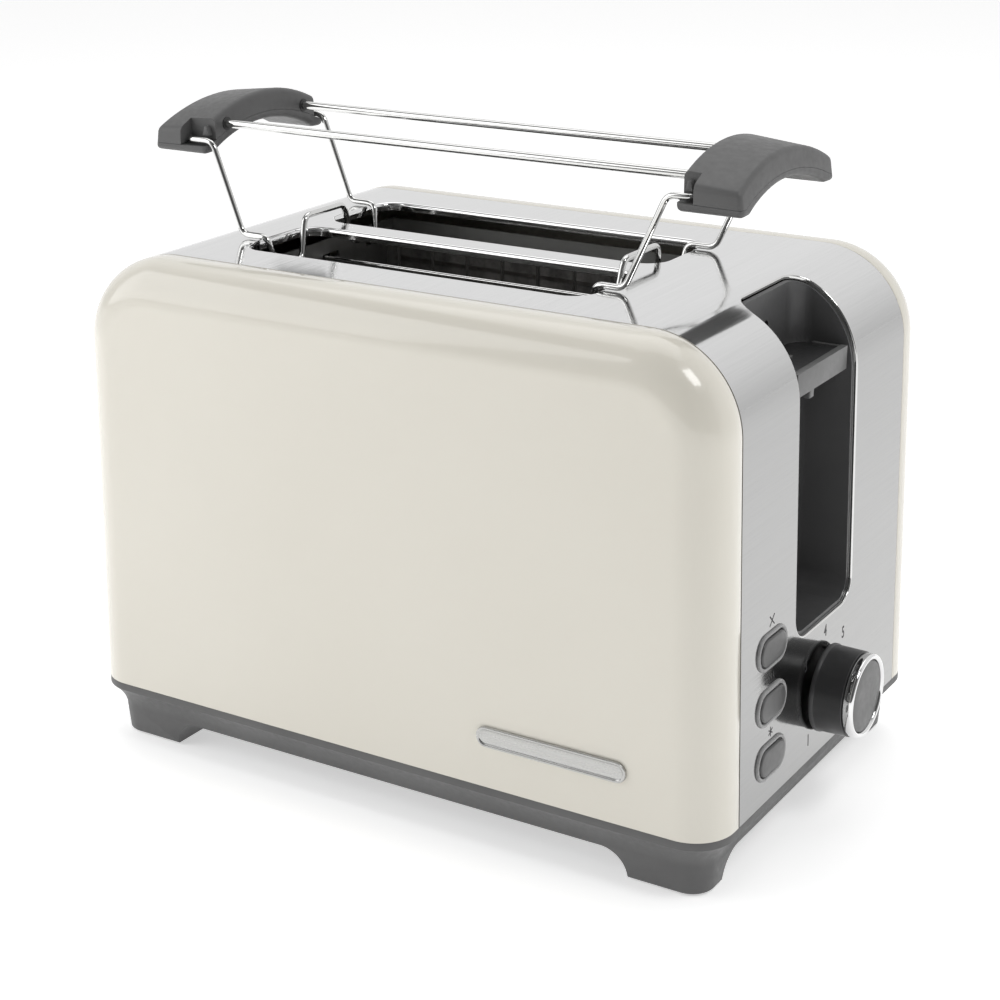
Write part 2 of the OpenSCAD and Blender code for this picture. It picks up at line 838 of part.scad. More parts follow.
module rack_rods() {
    color("silver") for (e = [-1, 1])
        bar_x([rack_x - grip_x - rod_in, e * rod_gap / 2, rod_z], rod_r, grip_gap + 2 * rod_in);
}

// Straight wire between two points, with a ball at each end to round the bends.
module wire(a, b) {
    hull() for (p = [a, b]) translate(p) sphere(r = wire_r, $fn = 12);
}

// One leg frame: pivots in the grip, feet on the top, bridge over the divider.
module rack_leg(s) {
    foot_z = body_h + wire_r + 0.3;
    half = leg_gap / 2;
    bridge = divider_w / 2 + 6.7;
    drop_x = slot_len / 2 - 4.5;
    // Each wire turns down just clear of the inner face of its grip.
    knee_x = grip_x - 1.4 - (s < 0 ? rack_x - slot_x : 0);
    side = [
        [pivot_x, half - pivot_len, pivot_z],
        [pivot_x, half, pivot_z],
        [knee_x, half, pivot_z],
        [slot_len / 2 + 9, half, foot_z],
        [slot_len / 2 - 2.5, half, foot_z],
        [drop_x, half - 2.5, foot_z - 12],
        [drop_x, bridge + 4, foot_z - 12],
        [drop_x + 1, bridge, foot_z + 4]
    ];
    last = len(side) - 1;
    color("silver") translate([slot_x, 0, 0]) {
        for (e = [-1, 1]) for (i = [0:last - 1])
            wire([s * side[i][0], e * side[i][1], side[i][2]],
                [s * side[i + 1][0], e * side[i + 1][1], side[i + 1][2]]);
        wire([s * side[last][0], -side[last][1], side[last][2]],
            [s * side[last][0], side[last][1], side[last][2]]);
    }
}

module rack_leg_left() rack_leg(-1);
module rack_leg_right() rack_leg(1);

base();
foot_pads();
base_screws();
cord_gland();
crumb_tray();
front_shell();
rear_shell();
steel_band();
badge();
well_liner();
lever();
carriage();
armature();
lifter_front();
lifter_rear();
guide_rod();
lift_spring();
electromagnet();
control_board();
dial_pot();
dial_shaft();
dial_knob();
dial_ring();
dial_cap();
button_frame();
button_cancel();
button_reheat();
button_defrost();
tact_switches();
chassis_left();
chassis_right();
shield_front();
shield_rear();
heater_board_front();
heater_board_middle();
heater_board_rear();
heater_ribbon_front();
heater_ribbon_middle();
heater_ribbon_rear();
guide_front_outer();
guide_front_inner();
guide_rear_inner();
guide_rear_outer();
rack_grip_left();
rack_grip_right();
rack_clamp_left();
rack_clamp_right();
rack_rods();
rack_leg_left();
rack_leg_right();
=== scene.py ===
"""Looks of the pop up toaster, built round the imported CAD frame. Metres, Z up, front face at -Y."""

import math

import bmesh
import bpy
from mathutils import Matrix, Vector


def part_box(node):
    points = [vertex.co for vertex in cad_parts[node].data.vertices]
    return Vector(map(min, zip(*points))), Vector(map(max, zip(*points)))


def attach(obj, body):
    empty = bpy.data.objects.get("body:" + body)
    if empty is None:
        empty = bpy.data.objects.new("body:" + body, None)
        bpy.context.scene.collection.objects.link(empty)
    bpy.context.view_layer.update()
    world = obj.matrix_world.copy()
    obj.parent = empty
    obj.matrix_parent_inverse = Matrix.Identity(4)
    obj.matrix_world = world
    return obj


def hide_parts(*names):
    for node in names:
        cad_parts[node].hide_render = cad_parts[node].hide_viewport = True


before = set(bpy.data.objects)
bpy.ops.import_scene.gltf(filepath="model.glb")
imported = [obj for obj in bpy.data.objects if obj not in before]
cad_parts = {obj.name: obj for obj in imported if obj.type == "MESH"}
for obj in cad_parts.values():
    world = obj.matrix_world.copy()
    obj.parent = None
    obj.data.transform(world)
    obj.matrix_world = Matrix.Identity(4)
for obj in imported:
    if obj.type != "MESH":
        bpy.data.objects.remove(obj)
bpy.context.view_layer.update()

MM = 0.001
QUARTER = math.pi / 2

# ---- Sizes: the CAD boxes, and the few that a box can't tell ----

CORNER_R = 34 * MM
FACE_R = 15.5 * MM
END_FLARE = 5 * MM
SHEET = 0.8 * MM
CORNER_STEPS = 28

shell_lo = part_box("front_shell")[0]
band_lo, band_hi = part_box("steel_band")
base_lo, base_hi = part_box("base")
FACE_Y = -shell_lo[1]
SEAM_Y = band_hi[1]
BODY_Z0 = band_lo[2]
BODY_Z1 = band_hi[2]
END_X = band_hi[0]
TOP_X = END_X - END_FLARE
SLOPE = END_FLARE / (BODY_Z1 - BODY_Z0)
TILT = math.atan(SLOPE)
CORNER_X = TOP_X - CORNER_R * (1 - math.sin(TILT)) / math.cos(TILT)
CORNER_Z = BODY_Z1 - CORNER_R

guide_lo, guide_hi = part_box("guide_front_outer")
lifter_lo, lifter_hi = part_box("lifter_front")
rods_lo, rods_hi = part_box("rack_rods")
SLOT_X = (guide_lo[0] + guide_hi[0]) / 2
SLOT_Y = -(lifter_lo[1] + lifter_hi[1]) / 2
SLOT_LEN = 147 * MM
SLOT_W = 42 * MM
SLOT_R = 9 * MM
RIM_ROLL = 1.5 * MM

liner_lo, liner_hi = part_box("well_liner")
WELL_X = liner_lo[0]
WELL_Z = liner_lo[2]
WELL_W = liner_hi[1] - liner_lo[1]
WELL_R = 9 * MM
WELL_WALL = 1.4 * MM
WELL_ROLL = 0.55 * MM

knob_lo, knob_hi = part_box("dial_knob")
DIAL_Z = (knob_lo[2] + knob_hi[2]) / 2
BUTTON_NODES = ["button_defrost", "button_reheat", "button_cancel"]
FRAME_LEN = 24 * MM
FRAME_H = 13.8 * MM
BUTTON_LEN = 20 * MM
BUTTON_H = 9.8 * MM

PAD_R = 5 * MM
ROD_R = 1.6 * MM
WIRE_R = 1.2 * MM
CLAMP_H = 3 * MM
GRIP_LEAN = 2.6 * MM


def end_x(z):
    """Half length of the body at height z."""
    return TOP_X + SLOPE * (BODY_Z1 - z)


def centre(node):
    """Middle of a CAD node's box."""
    return [(a + b) / 2 for a, b in zip(*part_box(node))]


# ---- Mesh helpers ----


def smooth(obj, angle=32):
    obj.data.shade_smooth()
    obj.data.set_sharp_from_angle(angle=math.radians(angle))


def raw_object(name, verts, faces):
    mesh = bpy.data.meshes.new(name)
    mesh.from_pydata([tuple(v) for v in verts], [], faces)
    bm = bmesh.new()
    bm.from_mesh(mesh)
    bmesh.ops.recalc_face_normals(bm, faces=bm.faces)
    bm.to_mesh(mesh)
    bm.free()
    obj = bpy.data.objects.new(name, mesh)
    bpy.context.scene.collection.objects.link(obj)
    return obj


def finish_piece(obj, material, body, nodes=(), angle=32):
    """Gives a piece its material, shading, body and the CAD nodes that it stands for."""
    obj.data.materials.clear()
    obj.data.materials.append(material)
    smooth(obj, angle)
    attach(obj, body)
    if nodes:
        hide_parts(*nodes)
    return obj


def loft(name, rings):
    """A closed tube through rings of the same number of points."""
    n = len(rings[0])
    verts = [p for ring in rings for p in ring]
    faces = []
    for k in range(len(rings) - 1):
        for i in range(n):
            j = (i + 1) % n
            faces.append((k * n + i, k * n + j, (k + 1) * n + j, (k + 1) * n + i))
    faces.append(tuple(range(n - 1, -1, -1)))
    faces.append(tuple(range((len(rings) - 1) * n, len(rings) * n)))
    return raw_object(name, verts, faces)


def ring_band(name, loops):
    """A closed profile carried round a closed path: loops[k] is the path at profile point k."""
    n = len(loops[0])
    m = len(loops)
    verts = [p for loop in loops for p in loop]
    faces = []
    for k in range(m):
        for i in range(n):
            j = (i + 1) % n
            kk = (k + 1) % m
            faces.append((k * n + i, k * n + j, kk * n + j, kk * n + i))
    return raw_object(name, verts, faces)


def apply_modifiers(obj):
    graph = bpy.context.evaluated_depsgraph_get()
    mesh = bpy.data.meshes.new_from_object(obj.evaluated_get(graph))
    obj.modifiers.clear()
    obj.data = mesh
    return obj


def boolean(obj, cutter, operation="DIFFERENCE"):
    """Cuts obj with cutter, which is then deleted."""
    mod = obj.modifiers.new("cut", "BOOLEAN")
    mod.operation = operation
    mod.solver = "EXACT"
    mod.object = cutter
    bpy.context.view_layer.update()
    apply_modifiers(obj)
    bpy.data.objects.remove(cutter, do_unlink=True)
    return obj


def bevel(obj, width, segments=3, angle=35):
    """Rounds the sharp edges of a piece and keeps its flat faces flat."""
    mod = obj.modifiers.new("edges", "BEVEL")
    mod.width = width
    mod.segments = segments
    mod.limit_method = "ANGLE"
    mod.angle_limit = math.radians(angle)
    mod.miter_outer = "MITER_ARC"
    mod.use_clamp_overlap = True
    bpy.context.view_layer.update()
    apply_modifiers(obj)
    mesh = obj.data
    bm = bmesh.new()
    bm.from_mesh(mesh)
    bmesh.ops.remove_doubles(bm, verts=bm.verts, dist=1e-6)
    bm.to_mesh(mesh)
    bm.free()
    return obj


def join(objs):
    """Joins pieces into the first one."""
    bm = bmesh.new()
    for obj in objs:
        bm.from_mesh(obj.data)
    bm.to_mesh(objs[0].data)
    bm.free()
    for obj in objs[1:]:
        bpy.data.objects.remove(obj, do_unlink=True)
    return objs[0]


def rounded_points(length, width, radius, steps=8):
    """Points of a rectangle with rounded corners, centred."""
    points = []
    for sx, sy, start in ((1, 1, 0), (-1, 1, 1), (-1, -1, 2), (1, -1, 3)):
        for i in range(steps + 1):
            a = (start + i / steps) * QUARTER
            points.append((sx * (length / 2 - radius) + radius * math.cos(a),
                           sy * (width / 2 - radius) + radius * math.sin(a)))
    return points


def outline(inset, z_low, steps=CORNER_STEPS):
    """Body outline in XZ, moved in by inset, from the lower left round to the lower right."""
    side = inset / math.cos(TILT)
    r = CORNER_R - inset
    right = []
    for i in range(steps + 1):
        a = QUARTER - (QUARTER - TILT) * i / steps
        right.append((CORNER_X + r * math.cos(a), CORNER_Z + r * math.sin(a)))
    right.append((end_x(z_low) - side, z_low))
    left = [(-x, z) for x, z in reversed(right)]
    return left + right


def box_object(name, lo, hi):
    x0, y0, z0 = lo
    x1, y1, z1 = hi
    rings = [[(x0, y0, z), (x1, y0, z), (x1, y1, z), (x0, y1, z)] for z in (z0, z1)]
    return loft(name, rings)


def prism_x(name, points_yz, x0, x1):
    return loft(name, [[(x, y, z) for y, z in points_yz] for x in (x0, x1)])


def prism_z(name, points_xy, z0, z1):
    return loft(name, [[(x, y, z) for x, y in points_xy] for z in (z0, z1)])


def circle(u, v, r, steps):
    """Points of a circle round (u, v)."""
    angles = [2 * math.pi * i / steps for i in range(steps)]
    return [(u + r * math.cos(a), v + r * math.sin(a)) for a in angles]


def lathe_x(name, profile, y, z, steps=96):
    """Turned piece about an axis along X; profile is (radius, x) from one end to the other."""
    return loft(name, [[(x, *p) for p in circle(y, z, r, steps)] for r, x in profile])


def lathe_z(name, profile, x, y, steps=48):
    """Turned piece about an axis along Z; profile is (radius, z)."""
    return loft(name, [[(*p, z) for p in circle(x, y, r, steps)] for r, z in profile])


def filleted(points, radius, steps=6):
    """A polyline with each inner corner rounded."""
    path = [Vector(points[0])]
    for before, corner, after in zip(points, points[1:], points[2:]):
        before, corner, after = Vector(before), Vector(corner), Vector(after)
        to_before = before - corner
        to_after = after - corner
        reach = min(radius, 0.45 * to_before.length, 0.45 * to_after.length)
        a = corner + to_before.normalized() * reach
        b = corner + to_after.normalized() * reach
        for i in range(steps + 1):
            t = i / steps
            path.append(a * (1 - t) ** 2 + corner * 2 * t * (1 - t) + b * t ** 2)
    path.append(Vector(points[-1]))
    return path


def sweep(name, points, radius, bend=2.5 * MM, sides=16):
    """A round wire along a bent path, with rounded ends."""
    path = filleted(points, bend)
    directions = []
    for i in range(len(path)):
        a = path[max(i - 1, 0)]
        b = path[min(i + 1, len(path) - 1)]
        directions.append((b - a).normalized())
    normal = directions[0].orthogonal().normalized()
    rings = []

    def ring(centre, direction, size):
        side = direction.cross(normal)
        return [centre + size * (normal * math.cos(2 * math.pi * k / sides)
                                 + side * math.sin(2 * math.pi * k / sides))
                for k in range(sides)]

    for i, (point, direction) in enumerate(zip(path, directions)):
        normal = (normal - direction * normal.dot(direction)).normalized()
        if i == 0:
            rings.append(ring(point - direction * radius * 0.4, direction, radius * 0.6))
        rings.append(ring(point, direction, radius))
        if i == len(path) - 1:
            rings.append(ring(point + direction * radius * 0.4, direction, radius * 0.6))
    return loft(name, rings)


# ---- Materials ----


class Shader:
    """A principled material with short calls to add its nodes."""

    def __init__(self, name, base, rough, metal=0.0, **sockets):
        self.mat = bpy.data.materials.new(name)
        self.mat.use_nodes = True
        self.tree = self.mat.node_tree
        self.bsdf = self.tree.nodes["Principled BSDF"]
        self.bsdf.inputs["Base Color"].default_value = (*base, 1)
        self.bsdf.inputs["Roughness"].default_value = rough
        self.bsdf.inputs["Metallic"].default_value = metal
        for key, value in sockets.items():
            self.bsdf.inputs[key.replace("_", " ")].default_value = value
        self.coords = self.tree.nodes.new("ShaderNodeTexCoord").outputs["Object"]

    def noise(self, scale, stretch=(1, 1, 1), detail=3.0, rough=0.5):
        mapping = self.tree.nodes.new("ShaderNodeMapping")
        mapping.inputs["Scale"].default_value = stretch
        self.tree.links.new(self.coords, mapping.inputs["Vector"])
        node = self.tree.nodes.new("ShaderNodeTexNoise")
        node.inputs["Scale"].default_value = scale
        node.inputs["Detail"].default_value = detail
        node.inputs["Roughness"].default_value = rough
        self.tree.links.new(mapping.outputs["Vector"], node.inputs["Vector"])
        return node.outputs["Fac"]

    def ramp(self, value, low, high):
        """Maps value from 0.3..0.7 to low..high."""
        node = self.tree.nodes.new("ShaderNodeMapRange")
        node.inputs["From Min"].default_value = 0.3
        node.inputs["From Max"].default_value = 0.7
        node.inputs["To Min"].default_value = low
        node.inputs["To Max"].default_value = high
        self.tree.links.new(value, node.inputs["Value"])
        return node.outputs["Result"]

    def mix(self, value, dark, light):
        """Colour between dark and light as value goes from 0.3 to 0.7."""
        node = self.tree.nodes.new("ShaderNodeMix")
        node.data_type = "RGBA"
        node.inputs["A"].default_value = (*dark, 1)
        node.inputs["B"].default_value = (*light, 1)
        self.tree.links.new(self.ramp(value, 0, 1), node.inputs["Factor"])
        return node.outputs["Result"]

    def colour(self, output):
        self.tree.links.new(output, self.bsdf.inputs["Base Color"])

    def roughness(self, output):
        self.tree.links.new(output, self.bsdf.inputs["Roughness"])

    def bump(self, *heights):
        """Each height is (output, strength, distance); they are laid over one another."""
        last = None
        for value, strength, distance in heights:
            node = self.tree.nodes.new("ShaderNodeBump")
            node.inputs["Strength"].default_value = strength
            node.inputs["Distance"].default_value = distance
            self.tree.links.new(value, node.inputs["Height"])
            if last is not None:
                self.tree.links.new(last, node.inputs["Normal"])
            last = node.outputs["Normal"]
        self.tree.links.new(last, self.bsdf.inputs["Normal"])

    def painted_edge_highlight(self, colour_output, edge_highlight_colour, amount=0.35):
        """Painted highlight: lightens raised edges a little."""
        geometry = self.tree.nodes.new("ShaderNodeNewGeometry")
        edge = self.tree.nodes.new("ShaderNodeMapRange")
        edge.inputs["From Min"].default_value = 0.52
        edge.inputs["From Max"].default_value = 0.62
        edge.inputs["To Max"].default_value = amount
        self.tree.links.new(geometry.outputs["Pointiness"], edge.inputs["Value"])
        node = self.tree.nodes.new("ShaderNodeMix")
        node.data_type = "RGBA"
        node.inputs["B"].default_value = (*edge_highlight_colour, 1)
        self.tree.links.new(edge.outputs["Result"], node.inputs["Factor"])
        self.tree.links.new(colour_output, node.inputs["A"])
        return node.outputs["Result"]


def cream_paint():
    s = Shader("cream_paint", (0.80, 0.76, 0.67), 0.2, Coat_Weight=0.6, Coat_Roughness=0.04)
    s.colour(s.mix(s.noise(9, detail=2), (0.775, 0.742, 0.655), (0.80, 0.768, 0.682)))
    s.roughness(s.ramp(s.noise(60), 0.17, 0.24))
    s.bump((s.noise(700, detail=1), 0.03, 0.0002), (s.noise(140, detail=1), 0.02, 0.0006))
    return s.mat


def steel(name, tint, low, high, grain, stretch, bump=0.05):
    """Brushed steel; stretch is small along the grain."""
    s = Shader(name, tint, low, metal=1.0)
    fine = s.noise(grain, stretch, detail=2, rough=0.65)
    darker = tuple(0.95 * c for c in tint)
    s.colour(s.mix(fine, darker, tint))
    s.roughness(s.ramp(fine, low, high))
    s.bump((fine, bump, 0.0001))
    return s.mat


def band_steel():
    """Steel of the band, polished on the top and satin down the ends; its colour is painted bright on
    the top and greyer down the ends, a painted reflection of the bright light above.
    """
    s = Shader("band_steel", (0.7, 0.7, 0.7), 0.08, metal=1.0)
    fine = s.noise(1500, (1.0, 0.015, 1.0), detail=2, rough=0.6)
    split = s.tree.nodes.new("ShaderNodeSeparateXYZ")
    s.tree.links.new(s.coords, split.inputs["Vector"])
    # Painted reflection: the colour goes from grey low on the ends to bright near the top.
    height = s.tree.nodes.new("ShaderNodeMapRange")
    height.interpolation_type = "SMOOTHSTEP"
    height.inputs["From Min"].default_value = BODY_Z1 - 34 * MM
    height.inputs["From Max"].default_value = BODY_Z1 - 2 * MM
    s.tree.links.new(split.outputs["Z"], height.inputs["Value"])
    painted_reflection_tone = s.tree.nodes.new("ShaderNodeMix")
    painted_reflection_tone.data_type = "RGBA"
    painted_reflection_tone.inputs["A"].default_value = (0.41, 0.41, 0.408, 1)
    painted_reflection_tone.inputs["B"].default_value = (0.76, 0.76, 0.76, 1)
    s.tree.links.new(height.outputs["Result"], painted_reflection_tone.inputs["Factor"])
    streak = s.tree.nodes.new("ShaderNodeMix")
    streak.data_type = "RGBA"
    streak.blend_type = "MULTIPLY"
    streak.inputs["B"].default_value = (0.955, 0.955, 0.955, 1)
    s.tree.links.new(s.ramp(fine, 0.0, 1.0), streak.inputs["Factor"])
    s.tree.links.new(painted_reflection_tone.outputs["Result"], streak.inputs["A"])
    s.colour(streak.outputs["Result"])
    s.roughness(s.ramp(fine, 0.07, 0.13))
    s.bump((fine, 0.012, 0.00005))
    return s.mat


def bright_metal(name, tint, rough):
    s = Shader(name, tint, rough, metal=1.0)
    s.colour(s.mix(s.noise(90), tuple(0.95 * c for c in tint), tint))
    s.roughness(s.ramp(s.noise(260), rough * 0.7, rough * 1.5))
    s.bump((s.noise(900, (1, 1, 0.2), detail=1), 0.015, 0.0001))
    return s.mat


def plastic(name, tint, rough, texture=0.12, scale=2600):
    """Moulded plastic with a fine spark-eroded texture."""
    s = Shader(name, tint, rough)
    dark = tuple(0.9 * c for c in tint)
    light = tuple(1.08 * c for c in tint)
    edge_highlight_colour = tuple(min(1.0, 1.5 * c) for c in tint)
    # Raised edges get a painted highlight.
    s.colour(s.painted_edge_highlight(s.mix(s.noise(35), dark, light), edge_highlight_colour))
    s.roughness(s.ramp(s.noise(420), rough * 0.85, rough * 1.15))
    s.bump((s.noise(scale, detail=1), texture, 0.00012), (s.noise(70, detail=1), 0.03, 0.0008))
    return s.mat


def printed_ink():
    s = Shader("printed_ink", (0.03, 0.03, 0.032), 0.5)
    s.colour(s.mix(s.noise(800), (0.025, 0.025, 0.027), (0.045, 0.045, 0.048)))
    return s.mat


def mica_board():
    s = Shader("mica_board", (0.05, 0.047, 0.042), 0.55)
    s.colour(s.mix(s.noise(120, detail=6, rough=0.7), (0.06, 0.058, 0.055), (0.22, 0.21, 0.20)))
    s.roughness(s.ramp(s.noise(300), 0.4, 0.7))
    s.bump((s.noise(500, detail=4), 0.2, 0.0002))
    return s.mat


def heater_wire():
    s = Shader("heater_ribbon", (0.24, 0.22, 0.21), 0.4, metal=1.0)
    s.colour(s.mix(s.noise(200), (0.16, 0.145, 0.135), (0.30, 0.28, 0.27)))
    s.bump((s.noise(900, (0.1, 1, 1)), 0.1, 0.0001))
    return s.mat


def circuit_board():
    s = Shader("circuit_board", (0.03, 0.13, 0.05), 0.4)
    s.colour(s.mix(s.noise(260, detail=1), (0.02, 0.09, 0.035), (0.05, 0.17, 0.07)))
    s.bump((s.noise(400, detail=1), 0.1, 0.0002))
    return s.mat


def copper_coil():
    s = Shader("copper_coil", (0.50, 0.22, 0.10), 0.35, metal=0.8)
    s.colour(s.mix(s.noise(300, (1, 1, 4)), (0.36, 0.15, 0.07), (0.58, 0.28, 0.13)))
    s.bump((s.noise(900, (0.1, 0.1, 1)), 0.3, 0.0003))
    return s.mat


CREAM = cream_paint()
TOP_STEEL = band_steel()
CHROME = bright_metal("chrome", (0.80, 0.80, 0.80), 0.06)
WIRE = bright_metal("polished_wire", (0.72, 0.72, 0.71), 0.07)
SATIN = steel("satin_nickel", (0.50, 0.50, 0.49), 0.22, 0.32, 900, (0.03, 1.0, 1.0), 0.03)
CHASSIS = steel("aluminised_sheet", (0.42, 0.42, 0.41), 0.35, 0.5, 500, (1.0, 1.0, 0.05))
GREY = plastic("grey_plastic", (0.118, 0.118, 0.118), 0.48)
GRIP_GREY = plastic("grip_plastic", (0.098, 0.098, 0.098), 0.46, texture=0.1)
KNOB_DARK = plastic("dial_plastic", (0.027, 0.027, 0.028), 0.36, texture=0.06)
LINER = plastic("liner_plastic", (0.088, 0.088, 0.089), 0.36, texture=0.06)
BUTTON = plastic("button_plastic", (0.095, 0.095, 0.095), 0.34, texture=0.05)
FRAME_GREY = plastic("frame_plastic", (0.30, 0.30, 0.30), 0.28, texture=0.04)
LEVER_GREY = plastic("lever_plastic", (0.125, 0.125, 0.125), 0.36, texture=0.05)
RUBBER = plastic("soft_pad", (0.02, 0.02, 0.02), 0.75, texture=0.3)
BLACK = plastic("black_plastic", (0.018, 0.018, 0.018), 0.45)
INK = printed_ink()
MICA = mica_board()
HEATER = heater_wire()
BOARD = circuit_board()
COIL = copper_coil()


# ---- Shells ----


def build_shell(name, side):
    """One painted shell; side is -1 for the front, 1 for the rear."""
    wall = 1.2 * MM
    lip = 0.35 * MM
    steps = 16

    def ring(y, inset, z_low):
        return [(x, side * y, z) for x, z in outline(inset, z_low)]

    fillet_y = FACE_Y - FACE_R
    inner = [ring(FACE_Y - wall, FACE_R + 0.5 * MM, BODY_Z0 + wall)]
    for i in range(steps, -1, -1):
        a = QUARTER * i / steps
        r = FACE_R - wall
        inner.append(ring(fillet_y + r * math.sin(a), wall + r * (1 - math.cos(a)),
                          BODY_Z0 + wall))
    inner.append(ring(SEAM_Y, wall, BODY_Z0 + wall))
    outer = [ring(SEAM_Y, lip, BODY_Z0), ring(SEAM_Y + 0.3 * lip, 0.3 * lip, BODY_Z0),
             ring(SEAM_Y + lip, 0, BODY_Z0)]
    for i in range(steps + 1):
        a = QUARTER * i / steps
        outer.append(ring(fillet_y + FACE_R * math.sin(a), FACE_R * (1 - math.cos(a)), BODY_Z0))
    outer.append(ring(FACE_Y, FACE_R + 0.5 * MM, BODY_Z0))
    obj = loft(name + "_skin", inner + outer)
    return finish_piece(obj, CREAM, "housing", [name], angle=50)


def build_gasket():
    """Dark strip behind the seams between the shells and the band."""
    for side, label in ((-1, "front"), (1, "rear")):
        loops = []
        for inset, y in ((0.7 * MM, SEAM_Y - 0.5 * MM), (0.7 * MM, SEAM_Y + 0.8 * MM),
                         (1.1 * MM, SEAM_Y + 0.8 * MM), (1.1 * MM, SEAM_Y - 0.5 * MM)):
            loops.append([(x, side * y, z) for x, z in outline(inset, BODY_Z0 + 0.5 * MM)])
        finish_piece(ring_band("seam_gasket_" + label, loops), BLACK, "housing")


# ---- Steel band ----


def well_room(name, grow, steps=10):
    """Room of the lever well, open at the end and the top."""
    top = 2 * (BODY_Z1 - WELL_Z)
    yz = rounded_points(WELL_W + 2 * grow, top, WELL_R + grow, steps)
    room = prism_x(name, [(y, z + WELL_Z - grow + top / 2) for y, z in yz],
                   WELL_X - grow, WELL_X + 80 * MM)
    xy = rounded_points(80 * MM, WELL_W + 2 * grow, WELL_R + grow, steps)
    plan = prism_z(name + "_plan", [(x + WELL_X - grow + 40 * MM, y) for x, y in xy],
                   0, BODY_Z1 + 60 * MM)
    return boolean(room, plan, "INTERSECT")


def slot_loop(side, grow, z, steps=8):
    points = rounded_points(SLOT_LEN + 2 * grow, SLOT_W + 2 * grow, SLOT_R + grow, steps)
    return [(x + SLOT_X, y + side * SLOT_Y, z) for x, y in points]


def pill_points(length, height, steps=12):
    return rounded_points(length, height, height / 2 - 1e-5, steps)


def build_band():
    reach = SEAM_Y - 0.4 * MM
    outer = outline(0, BODY_Z0)
    inner = outline(SHEET, BODY_Z0)
    profile = outer + list(reversed(inner))
    obj = loft("steel_band_skin", [[(x, y, z) for x, z in profile] for y in (-reach, reach)])
    for side in (-1, 1):
        loops = [slot_loop(side, RIM_ROLL, z) for z in (BODY_Z1 - 5 * MM, BODY_Z1 + 5 * MM)]
        boolean(obj, loft("slot_cutter", loops))
    boolean(obj, well_room("well_cutter", WELL_ROLL))
    for node in BUTTON_NODES:
        y, z = centre(node)[1:]
        points = pill_points(FRAME_LEN, FRAME_H)
        boolean(obj, prism_x("frame_cutter", [(y + a, z + b) for a, b in points],
                             TOP_X - 15 * MM, END_X + 10 * MM))
    dial_hole = [(5 * MM, END_X - 15 * MM), (5 * MM, END_X + 5 * MM)]
    boolean(obj, lathe_x("dial_cutter", dial_hole, 0, DIAL_Z, 32))
    return finish_piece(obj, TOP_STEEL, "housing", ["steel_band"], angle=20)


def build_slot_rim(side):
    """Rolled steel rim that lines one bread slot."""
    rim_h = 3.2 * MM
    profile = []
    for i in range(7):
        a = QUARTER * i / 6
        profile.append((RIM_ROLL * (1 - math.sin(a)), BODY_Z1 - RIM_ROLL * (1 - math.cos(a))))
    profile += [(0, BODY_Z1 - rim_h), (0.25 * MM, BODY_Z1 - rim_h - 0.25 * MM),
                (SHEET, BODY_Z1 - rim_h), (SHEET, BODY_Z1 - RIM_ROLL), (RIM_ROLL, BODY_Z1 - SHEET)]
    loops = [slot_loop(side, grow, z, 12) for grow, z in profile]
    obj = ring_band("slot_rim_front" if side < 0 else "slot_rim_rear", loops)
    return finish_piece(obj, TOP_STEEL, "housing", angle=40)


def end_surface(z):
    """Half length of the body at height z, round its upper corner too, and the normal there."""
    if z <= CORNER_Z + CORNER_R * math.sin(TILT):
        return end_x(z), Vector((math.cos(TILT), 0, math.sin(TILT)))
    a = math.asin(min(1.0, (z - CORNER_Z) / CORNER_R))
    return CORNER_X + CORNER_R * math.cos(a), Vector((math.cos(a), 0, math.sin(a)))


def well_path():
    """Edge of the well's opening: (point, outward normal, direction into the opening)."""
    half = WELL_W / 2
    low = WELL_Z + WELL_R
    path = []

    def add(y, z, into):
        x, normal = end_surface(z)
        path.append((Vector((x, y, z)), normal, Vector(into)))

    for i in range(13):
        a = QUARTER * i / 12
        add(half - WELL_R + WELL_R * math.sin(a), low - WELL_R * math.cos(a),
            (0, -math.sin(a), math.cos(a)))
    for i in range(1, 9):
        add(half, low + (CORNER_Z - low) * i / 8, (0, -1, 0))
    for i in range(1, 41):
        a = TILT + (QUARTER - TILT) * i / 40
        if CORNER_X + CORNER_R * math.cos(a) < WELL_X + WELL_R:
            break
        add(half, CORNER_Z + CORNER_R * math.sin(a), (0, -1, 0))
    for i in range(13):
        a = QUARTER * i / 12
        x = WELL_X + WELL_R - WELL_R * math.sin(a)
        b = math.acos(max(0.0, (x - CORNER_X) / CORNER_R))
        normal = Vector((math.cos(b), 0, math.sin(b)))
        into = Vector((math.sin(a), -math.cos(a), 0))
        into = (into - normal * into.dot(normal)).normalized()
        point = (x, half - WELL_R + WELL_R * math.cos(a), CORNER_Z + CORNER_R * math.sin(b))
        path.append((Vector(point), normal, into))
    flip = Vector((1, -1, 1))
    return path + [(point * flip, normal, into * flip) for point, normal, into in reversed(path)]


def build_well_rim():
    """Rolled edge of the steel round the lever well."""
    path = well_path()
    profile = []
    for i in range(6):
        a = QUARTER * i / 5
        profile.append((-WELL_ROLL * (1 - math.sin(a)), WELL_ROLL * (1 - math.cos(a))))
    profile += [(0, 1.5 * MM), (-0.4 * MM, 1.5 * MM), (-0.4 * MM, WELL_ROLL),
                (-WELL_ROLL, 0.4 * MM)]
    loops = []
    for into_by, down_by in profile:
        loops.append([point + into * into_by - normal * down_by for point, normal, into in path])
    obj = ring_band("well_rim", loops)
    return finish_piece(obj, WIRE, "housing", angle=45)


